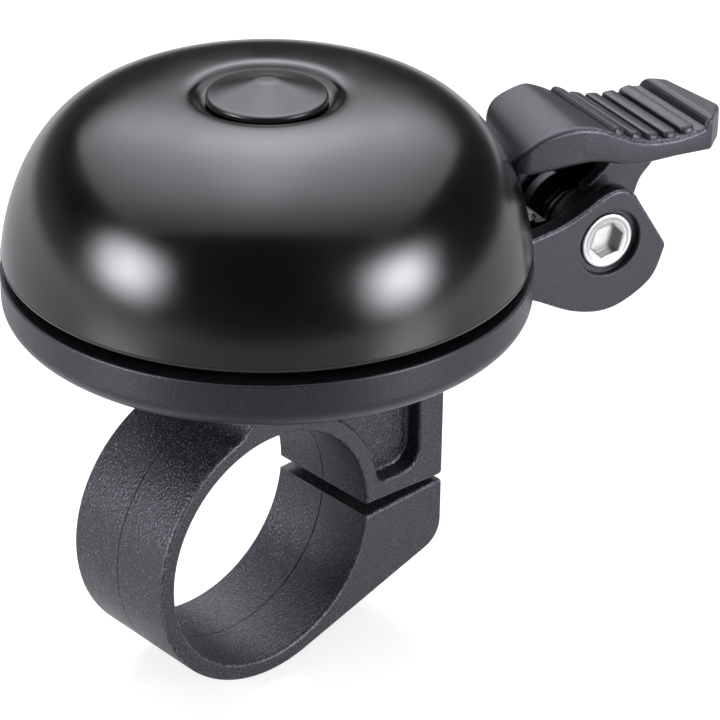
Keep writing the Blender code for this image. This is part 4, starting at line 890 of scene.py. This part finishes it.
class BELL_OT_lever(bpy.types.Operator):
    """Mould the thumb lever: dished pad with cross ribs, hollow neck, hub and tail"""

    bl_idname = "bell.lever"
    bl_label = "Thumb lever"

    def plan(self, s):
        """Plan of the pad: round corners beside the dome, cut corners at the tip, and both ends skewed."""
        half, far_tip, far_start = s.width / 2, s.tip - s.tip_skew, s.skew - s.start
        tip = [
            (s.tip - s.tip_cut, -half),
            (s.tip, s.tip_cut_width - half),
            (far_tip, half - s.tip_cut_width),
            (far_tip - s.tip_cut, half),
        ]
        far = arc((far_start + s.far_corner, half - s.far_corner), s.far_corner, math.pi / 2, math.pi, 16)
        near = arc((s.corner - s.start, s.corner - half), s.corner, math.pi, 1.5 * math.pi, 12)
        return tip + far + near

    def sides(self, plan, x):
        """Return where a line across the pad enters and leaves its plan."""
        found = []
        for (x0, y0), (x1, y1) in zip(plan, plan[1:] + plan[:1]):
            if min(x0, x1) <= x <= max(x0, x1) and x0 != x1:
                found.append(y0 + (y1 - y0) * (x - x0) / (x1 - x0))
        return min(found), max(found)

    def lean(self, s, x):
        """Return how far a section's far side lies ahead of its near side: the hump and the tip follow their ends."""
        level = PAD_TIP[-2][0] * MM
        share = held(-x / s.lean_length)
        return s.skew * share * share * (3 - 2 * share) - s.tip_skew * max(0.0, x - level) / (s.tip - level)

    def section(self, near, far, low, high, s, share):
        """Return one section across the pad, with rounded corners, wider below the hump by its share."""
        # A rounding shrinks smoothly where it lacks room, and two of them take a little less than the whole side.
        shrink, two_sides, low_rub_and_highlight = 6, 2.05, 0.3
        room = min(far - near, high - low) / two_sides
        edges = s.top_edge, s.low_edge + share * (s.hump_edge - s.low_edge)
        top, bottom = ((edge**-shrink + room**-shrink) ** (-1 / shrink) for edge in edges)
        corners = ((far, high, top, 0.0), (near, high, top, 0.5), (near, low, bottom, 1.0), (far, low, bottom, 1.5))
        loop = []
        for y, z, radius, turn in corners:
            inward_y = radius if y == near else -radius
            inward_z = radius if z == low else -radius
            # Pale edge paint, partly rubbed wear and partly painted highlight, with less of it on the lower edges
            rub_and_highlight_amount = low_rub_and_highlight if z == low else 1.0
            for a in quarter(6):
                angle = math.pi * turn + a
                across, up = y + inward_y + radius * math.cos(angle), z + inward_z + radius * math.sin(angle)
                loop.append((across, up, rub_and_highlight_amount * math.sin(2 * a)))
        return loop

    def pad(self, s):
        """The pad with its hump, skinned over sections that lie across it."""
        plan = self.plan(s)
        top = smooth(in_mm(PAD_HUMP + PAD_DISH), 10) + in_mm(PAD_TIP)
        under = smooth(in_mm(PAD_UNDERSIDE), 8)
        steps, short, rub_and_highlight_run = 150, 0.02 * MM, 1.5 * MM
        ends = (-s.start + short, s.tip - short)
        stations = {ends[0] + (ends[1] - ends[0]) * i / steps for i in range(steps + 1)}
        stations |= {-s.start + s.corner * (1 - math.cos(a)) + short for a in quarter(10)}
        stations |= {x * MM for x, _ in PAD_DISH[-1:] + PAD_TIP[:-1]}
        points, rub_and_highlight = [], []
        for x in sorted(stations):
            lean = self.lean(s, x)
            near, far = self.sides(plan, x)[0], self.sides(plan, x + lean)[1]
            share = held((s.hump_end - x) / (s.start + s.hump_end))
            near += s.bow * share * share
            # The pale edge paint, partly rubbed wear and partly painted highlight, fades in from its start
            rubbed_and_highlit = held((x + s.rub_and_highlight_start) / rub_and_highlight_run)
            loop = self.section(near, far, level_at(under, x), level_at(top, x), s, share)
            points += [(x + lean * (y - near) / (far - near), y, z) for y, z, _ in loop]
            rub_and_highlight += [w * rubbed_and_highlit for _, _, w in loop]
        return mesh_from("pad", points, ringed(len(stations), len(loop)), rub_and_highlight)

    def rib(self, s):
        """One rib across the pad, flat on top, round at its shoulders, and rolled over at both ends."""
        half = s.width / 2 - s.rib_inset
        foot, sunk_by = s.rib_width / 2, 0.5 * MM
        end_width, crest_rub_and_highlight, end_rub_and_highlight = 0.35, 0.08, 0.3
        shape = [(-foot, -sunk_by)] + [(-foot * out, s.rib_height * up) for out, up in RIB_SECTION]
        shape += [(-x, z) for x, z in shape[-2::-1]]
        places = [-half + s.rib_roll * (1 - math.cos(a)) for a in quarter(8)]
        places += [-y for y in places[::-1]]
        points, rub_and_highlight = [], []
        for y in places:
            over = max(0.0, abs(y) - (half - s.rib_roll)) / s.rib_roll
            full = math.sqrt(max(0.0, 1 - over**2))
            narrowed = end_width + (1 - end_width) * full
            points += [(x * narrowed, y, z - s.rib_height * (1 - full)) for x, z in shape]
            # Crests and rolled ends are painted pale, partly as rubbed wear and partly as painted highlight
            rub_and_highlight += [(crest_rub_and_highlight + end_rub_and_highlight * over) * max(0.0, z / s.rib_height) for _, z in shape]
        return mesh_from("rib", points, ringed(len(places), len(shape)), rub_and_highlight)

    def neck(self, s):
        """The neck with its hub and tail, hollowed for the spring and drilled for the pin and the arm's rivets."""
        tail_top, tail_bottom, edge = 0.7 * MM, -1.2 * MM, 0.3 * MM
        rivet_radius, rivet_reach, rivet_aside = 0.9 * MM, 6.45 * MM, 1.3 * MM
        hub_front, hub_rear = math.radians(10.0), math.radians(100.0)
        path = smooth(in_mm(NECK_FRONT), 8)
        path += arc((0.0, 0.0), s.hub, hub_front, -math.pi - math.asin(tail_bottom / s.hub), 36)
        path += [(-s.tail, tail_bottom), (-s.tail, tail_top)]
        path += arc((0.0, 0.0), s.hub, math.pi - math.asin(tail_top / s.hub), hub_rear, 14)
        path += smooth(in_mm(NECK_REAR), 5)
        half = s.neck_width / 2
        mesh = layers("neck", path, edged(-half, half, edge))
        room = half - s.cheek
        cutters = [straight("room", in_mm(SPRING_ROOM), -room, room)]
        cutters.append(straight("hole", circle(s.hub_bore), -2 * half, 2 * half))
        for y in (-rivet_aside, rivet_aside):
            rod = straight("rivet_hole", circle(rivet_radius, 24), -s.hub, s.hub)
            cutters.append(moved(rod, Matrix.Translation((-rivet_reach, y, 0.0)) @ UPRIGHT))
        return cut(mesh, *cutters)

    def execute(self, context):
        s, drop_height = context.scene.bell_lever, 30 * MM
        pad = self.pad(s)
        target = working("pad", pad)
        ribs = grown(
            "ribs",
            self.rib(s),
            rib_tree(),
            Pad=target,
            Count=s.rib_count,
            First=s.rib_first,
            Pitch=s.rib_pitch,
            Above=drop_height,
            Finish=finish("lever_plastic"),
        )
        bpy.data.objects.remove(target)
        mesh = joined("lever", pad, ribs, self.neck(s))
        moved(mesh, lever_place())
        piece("bell_lever", mesh, "lever", "lever_plastic", "lever")
        return {"FINISHED"}


class BELL_OT_fasteners(bpy.types.Operator):
    """Turn the bright pivot screw that shows in the near ear"""

    bl_idname = "bell.fasteners"
    bl_label = "Pivot screw"

    def execute(self, context):
        s = context.scene.bell_fasteners
        socket_turn, mouth, fillet = math.radians(13.0), 0.2 * MM, 0.05 * MM
        top = s.head_height
        bevel = arc((s.head_radius - s.head_edge, top - s.head_edge), s.head_edge, math.pi / 2, 0.0, 6)
        shank = -(s.seat + s.tip)
        face = top - s.head_dish
        dish = [(0.0, face), (s.head_rim - s.head_edge / 2, face), (s.head_rim, face + s.head_dish * 0.3)]
        dish.append((s.head_rim + s.head_edge / 4, top - s.head_dish * 0.1))
        profile = dish + bevel + [(s.head_radius, 0.0), (s.shank, 0.0), (s.shank, shank), (0.0, shank)]
        mesh = turned("pivot_screw", profile, finish("bright_steel"), 64)
        socket = layers("socket", hexagon(s.socket_flats), sunk(-top, s.socket_depth - top, mouth, fillet))
        moved(socket, Matrix.Rotation(socket_turn, 4, "Z") @ Matrix.Rotation(-math.pi / 2, 4, "X"))
        mesh = cut(mesh, socket)
        moved(mesh, lever_place() @ Matrix.Translation((0.0, -s.seat, 0.0)) @ UPRIGHT)
        piece("bell_pivot_screw", mesh, "bell", "bright_steel", "pivot_screw")
        return {"FINISHED"}


class BELL_OT_spring(bpy.types.Operator):
    """Give the return spring its finish, as imported and on no body"""

    bl_idname = "bell.spring"
    bl_label = "Return spring"

    def execute(self, context):
        mesh = frame["nodes"]["return_spring"].data.copy()
        item = piece("bell_return_spring", mesh, None, "spring_steel", "return_spring")
        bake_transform(item)
        return {"FINISHED"}


class BELL_OT_carried(bpy.types.Operator):
    """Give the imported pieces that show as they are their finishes"""

    bl_idname = "bell.carried"
    bl_label = "Carried pieces"

    def execute(self, context):
        shown_anew = {"dome", "dome_cap", "base", "clamp", "lever", "pivot_screw", "return_spring"}
        for part in frame["record"]["subparts"]:
            if part["node"] not in shown_anew:
                mesh = frame["nodes"][part["node"]].data
                mesh.materials.clear()
                mesh.materials.append(finish(part["material_slot"]))
        return {"FINISHED"}


class BELL_OT_studio(bpy.types.Operator):
    """Set the pale floor, the soft lamps and the camera"""

    bl_idname = "bell.studio"
    bl_label = "Studio"

    def pale(self, tree, gloss):
        """Return how far a ray sees the pale background: all of it for the camera, and a share of it in the gloss."""
        rays = add(tree, "ShaderNodeLightPath").outputs
        shared = add(tree, "ShaderNodeMath", (rays["Is Glossy Ray"], gloss), operation="MULTIPLY")
        seen = rays["Is Camera Ray"]
        for other in (rays["Is Transmission Ray"], shared):
            seen = add(tree, "ShaderNodeMath", (seen, other), operation="MAXIMUM")
        return seen

    def aside(self, tree, way):
        """Return how far a direction goes towards the picture's right, from -1 to 1."""
        return add(tree, "ShaderNodeVectorMath", (way, PICTURE_RIGHT), operation="DOT_PRODUCT")

    def floor(self, shade):
        """Pale paper: its own light makes it white to the eye and in the gloss, and the lamps give it the shadow."""
        made, tree, shader, place = principled("pale_floor_paper")
        grain = add(tree, "ShaderNodeTexNoise", {"Vector": place, "Scale": per_mm(3.0), "Detail": 3.0})
        satin = add(tree, "ShaderNodeMapRange", (grain, 0.3, 0.7, 0.27, 0.33))
        # In the gloss, the paper grows brighter away from the bell, and ends about a metre off except at the left.
        far = add(tree, "ShaderNodeVectorMath", (place,), operation="LENGTH")
        bright = add(tree, "ShaderNodeMapRange", (far, 0.1, 0.8, 0.4, 1.2))
        way = add(tree, "ShaderNodeVectorMath", (place,), operation="NORMALIZE")
        aside = self.aside(tree, way)
        left = add(tree, "ShaderNodeMapRange", (aside, -0.9, -0.3, 0.8, 0.1))
        end = add(tree, "ShaderNodeMapRange", (far, 0.4, 1.1, 1.0, left), interpolation_type="SMOOTHSTEP")
        sides = add(tree, "ShaderNodeMath", (aside, aside), operation="MULTIPLY")
        sides = add(tree, "ShaderNodeMath", (sides, 0.85, 0.85), operation="MULTIPLY_ADD")
        for share in (end, sides):
            bright = add(tree, "ShaderNodeMath", (bright, share), operation="MULTIPLY")
        glow = add(tree, "ShaderNodeMath", (self.pale(tree, bright), 0.8), operation="MULTIPLY")
        feed(tree, shader, {"Base Color": (*shade, 1.0), "Roughness": satin, "Specular IOR Level": 0.68})
        feed(tree, shader, {"Emission Color": WHITE, "Emission Strength": glow})
        radius, count = 20.0, 96
        mesh = mesh_from("floor", [(x, y, 0.0) for x, y in circle(radius, count)], [tuple(range(count))])
        mesh.materials.append(made)
        item = working("studio_floor", mesh)
        item.location.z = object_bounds()[0][2] - 0.05 * MM
        item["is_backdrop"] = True

    def lamp(self, name, shape, size, heart, level, rim, matrix):
        """Add a lamp behind a diffuser: level round its heart, and falling to a share of that at its rim, both ways."""
        light = bpy.data.lights.new(name, "AREA")
        light.shape = shape
        light.size, light.size_y = size
        light.energy = math.pi * size[0] * size[1] * (math.pi / 4 if shape == "ELLIPSE" else 1.0)
        light.color = LAMP_COLOUR
        light.use_nodes = True
        tree = light.node_tree
        place = add(tree, "ShaderNodeNewGeometry").outputs["Parametric"]
        axes = add(tree, "ShaderNodeSeparateXYZ", (place,)).outputs
        strength = heart
        for axis, flat, low in zip("XY", level, rim):
            off = add(tree, "ShaderNodeMath", (axes[axis], 2.0, -1.0), operation="MULTIPLY_ADD")
            off = add(tree, "ShaderNodeMath", (off,), operation="ABSOLUTE")
            fall = add(tree, "ShaderNodeMapRange", (off, flat, 1.0, 1.0, low), interpolation_type="SMOOTHSTEP")
            strength = add(tree, "ShaderNodeMath", (strength, fall), operation="MULTIPLY")
        feed(tree, tree.nodes["Emission"], {"Strength": strength})
        working(name, light).matrix_world = matrix

    def facing(self, direction, distance):
        """Return the place of a lamp that looks at the bell from a direction."""
        towards, aim = Vector(direction).normalized(), Vector((0.01, -0.002, 0.03))
        turn = towards.to_track_quat("Z", "Y").to_matrix().to_4x4()
        return Matrix.Translation(aim + towards * distance) @ turn

    def overhead(self, right, ahead, height):
        """Return the place of a level panel, so far beside and beyond the bell as the camera sees it."""
        middle = (0.005, 0.0, 0.03)
        return Matrix.Translation(middle) @ CAMERA_HEADING @ Matrix.Translation((right, ahead, height))

    def room(self, scene):
        """Dim room that the camera sees as pale, and that the gloss sees as pale where it goes on from the floor."""
        scene.world = bpy.data.worlds.new("studio_room")
        scene.world.use_nodes = True
        tree = scene.world.node_tree
        way = add(tree, "ShaderNodeTexCoord").outputs["Generated"]
        left = add(tree, "ShaderNodeMapRange", (self.aside(tree, way), -0.9, -0.3, 0.42, 0.03))
        level = add(tree, "ShaderNodeSeparateXYZ", (way,)).outputs["Z"]
        low = add(tree, "ShaderNodeMapRange", (level, 0.0, 0.3, left, 0.0))
        seen = add(tree, "ShaderNodeMix", {FACTOR: self.pale(tree, low), MIX_A: DIM, MIX_B: WHITE}, data_type="RGBA")
        feed(tree, tree.nodes["Background"], {"Color": seen})

    def execute(self, context):
        self.floor(context.scene.bell_colours.floor)
        left, right = self.facing((-0.93, 0.23, 0.29), 0.6), self.facing((0.29, -0.92, 0.23), 0.6)
        self.lamp("softbox", "RECTANGLE", (1.4, 1.5), 3.8, (0.0, 0.35), (0.42, 0.28), self.overhead(-0.01, 0.42, 0.5))
        self.lamp("softbox_tube", "ELLIPSE", (0.26, 1.3), 1.5, (0.0, 0.4), (0.0, 0.0), self.overhead(-0.02, 0.4, 0.49))
        self.lamp("left_lamp", "ELLIPSE", (0.5, 0.36), 26.0, (0.0, 0.0), (0.02, 0.02), left)
        self.lamp("right_lamp", "ELLIPSE", (0.5, 0.36), 26.0, (0.0, 0.0), (0.02, 0.02), right)
        self.room(context.scene)
        camera = bpy.data.cameras.new("photo_camera")
        camera.lens = CAMERA_LENS
        camera.sensor_width = 36.0
        camera.clip_end = 10.0
        item = working("photo_camera", camera)
        forward = CAMERA_FORWARD.normalized()
        right = forward.cross(CAMERA_UP).normalized()
        turn = Matrix((right, right.cross(forward), -forward)).transposed().to_4x4()
        item.matrix_world = Matrix.Translation(CAMERA_PLACE) @ turn
        context.scene.camera = item
        context.scene.view_settings.view_transform = "Standard"
        return {"FINISHED"}


class BELL_PT_panel(bpy.types.Panel):
    bl_label = "Bicycle bell"
    bl_idname = "BELL_PT_panel"
    bl_space_type = "VIEW_3D"
    bl_region_type = "UI"
    bl_category = "Bell"

    def draw(self, context):
        for operator in OPERATORS:
            self.layout.operator(operator.bl_idname)
        for name in GROUPS:
            box = self.layout.box()
            group = getattr(context.scene, name)
            for key in group.bl_rna.properties.keys():
                if key not in {"rna_type", "name"}:
                    box.prop(group, key)


GROUPS = {
    "bell_dome": BellDomeSizes,
    "bell_tray": BellTraySizes,
    "bell_clamp": BellClampSizes,
    "bell_lever": BellLeverSizes,
    "bell_fasteners": BellFastenerSizes,
    "bell_colours": BellColours,
}
OPERATORS = (
    BELL_OT_dome,
    BELL_OT_tray,
    BELL_OT_clamp,
    BELL_OT_lever,
    BELL_OT_fasteners,
    BELL_OT_spring,
    BELL_OT_carried,
    BELL_OT_studio,
)


def register():
    """Register the classes, and give the scene their sizes and colours."""
    for item in (*GROUPS.values(), *OPERATORS, BELL_PT_panel):
        bpy.utils.register_class(item)
    for name, group in GROUPS.items():
        setattr(bpy.types.Scene, name, bpy.props.PointerProperty(type=group))


def unregister():
    """Take both away again."""
    for name in GROUPS:
        delattr(bpy.types.Scene, name)
    for item in (BELL_PT_panel, *OPERATORS[::-1], *reversed(GROUPS.values())):
        bpy.utils.unregister_class(item)


def main():
    """Build the bell and its studio."""
    register()
    bpy.ops.bell.dome()
    bpy.ops.bell.tray()
    bpy.ops.bell.clamp()
    bpy.ops.bell.lever()
    bpy.ops.bell.fasteners()
    bpy.ops.bell.spring()
    bpy.ops.bell.carried()
    bpy.ops.bell.studio()


if __name__ == "__main__":
    main()
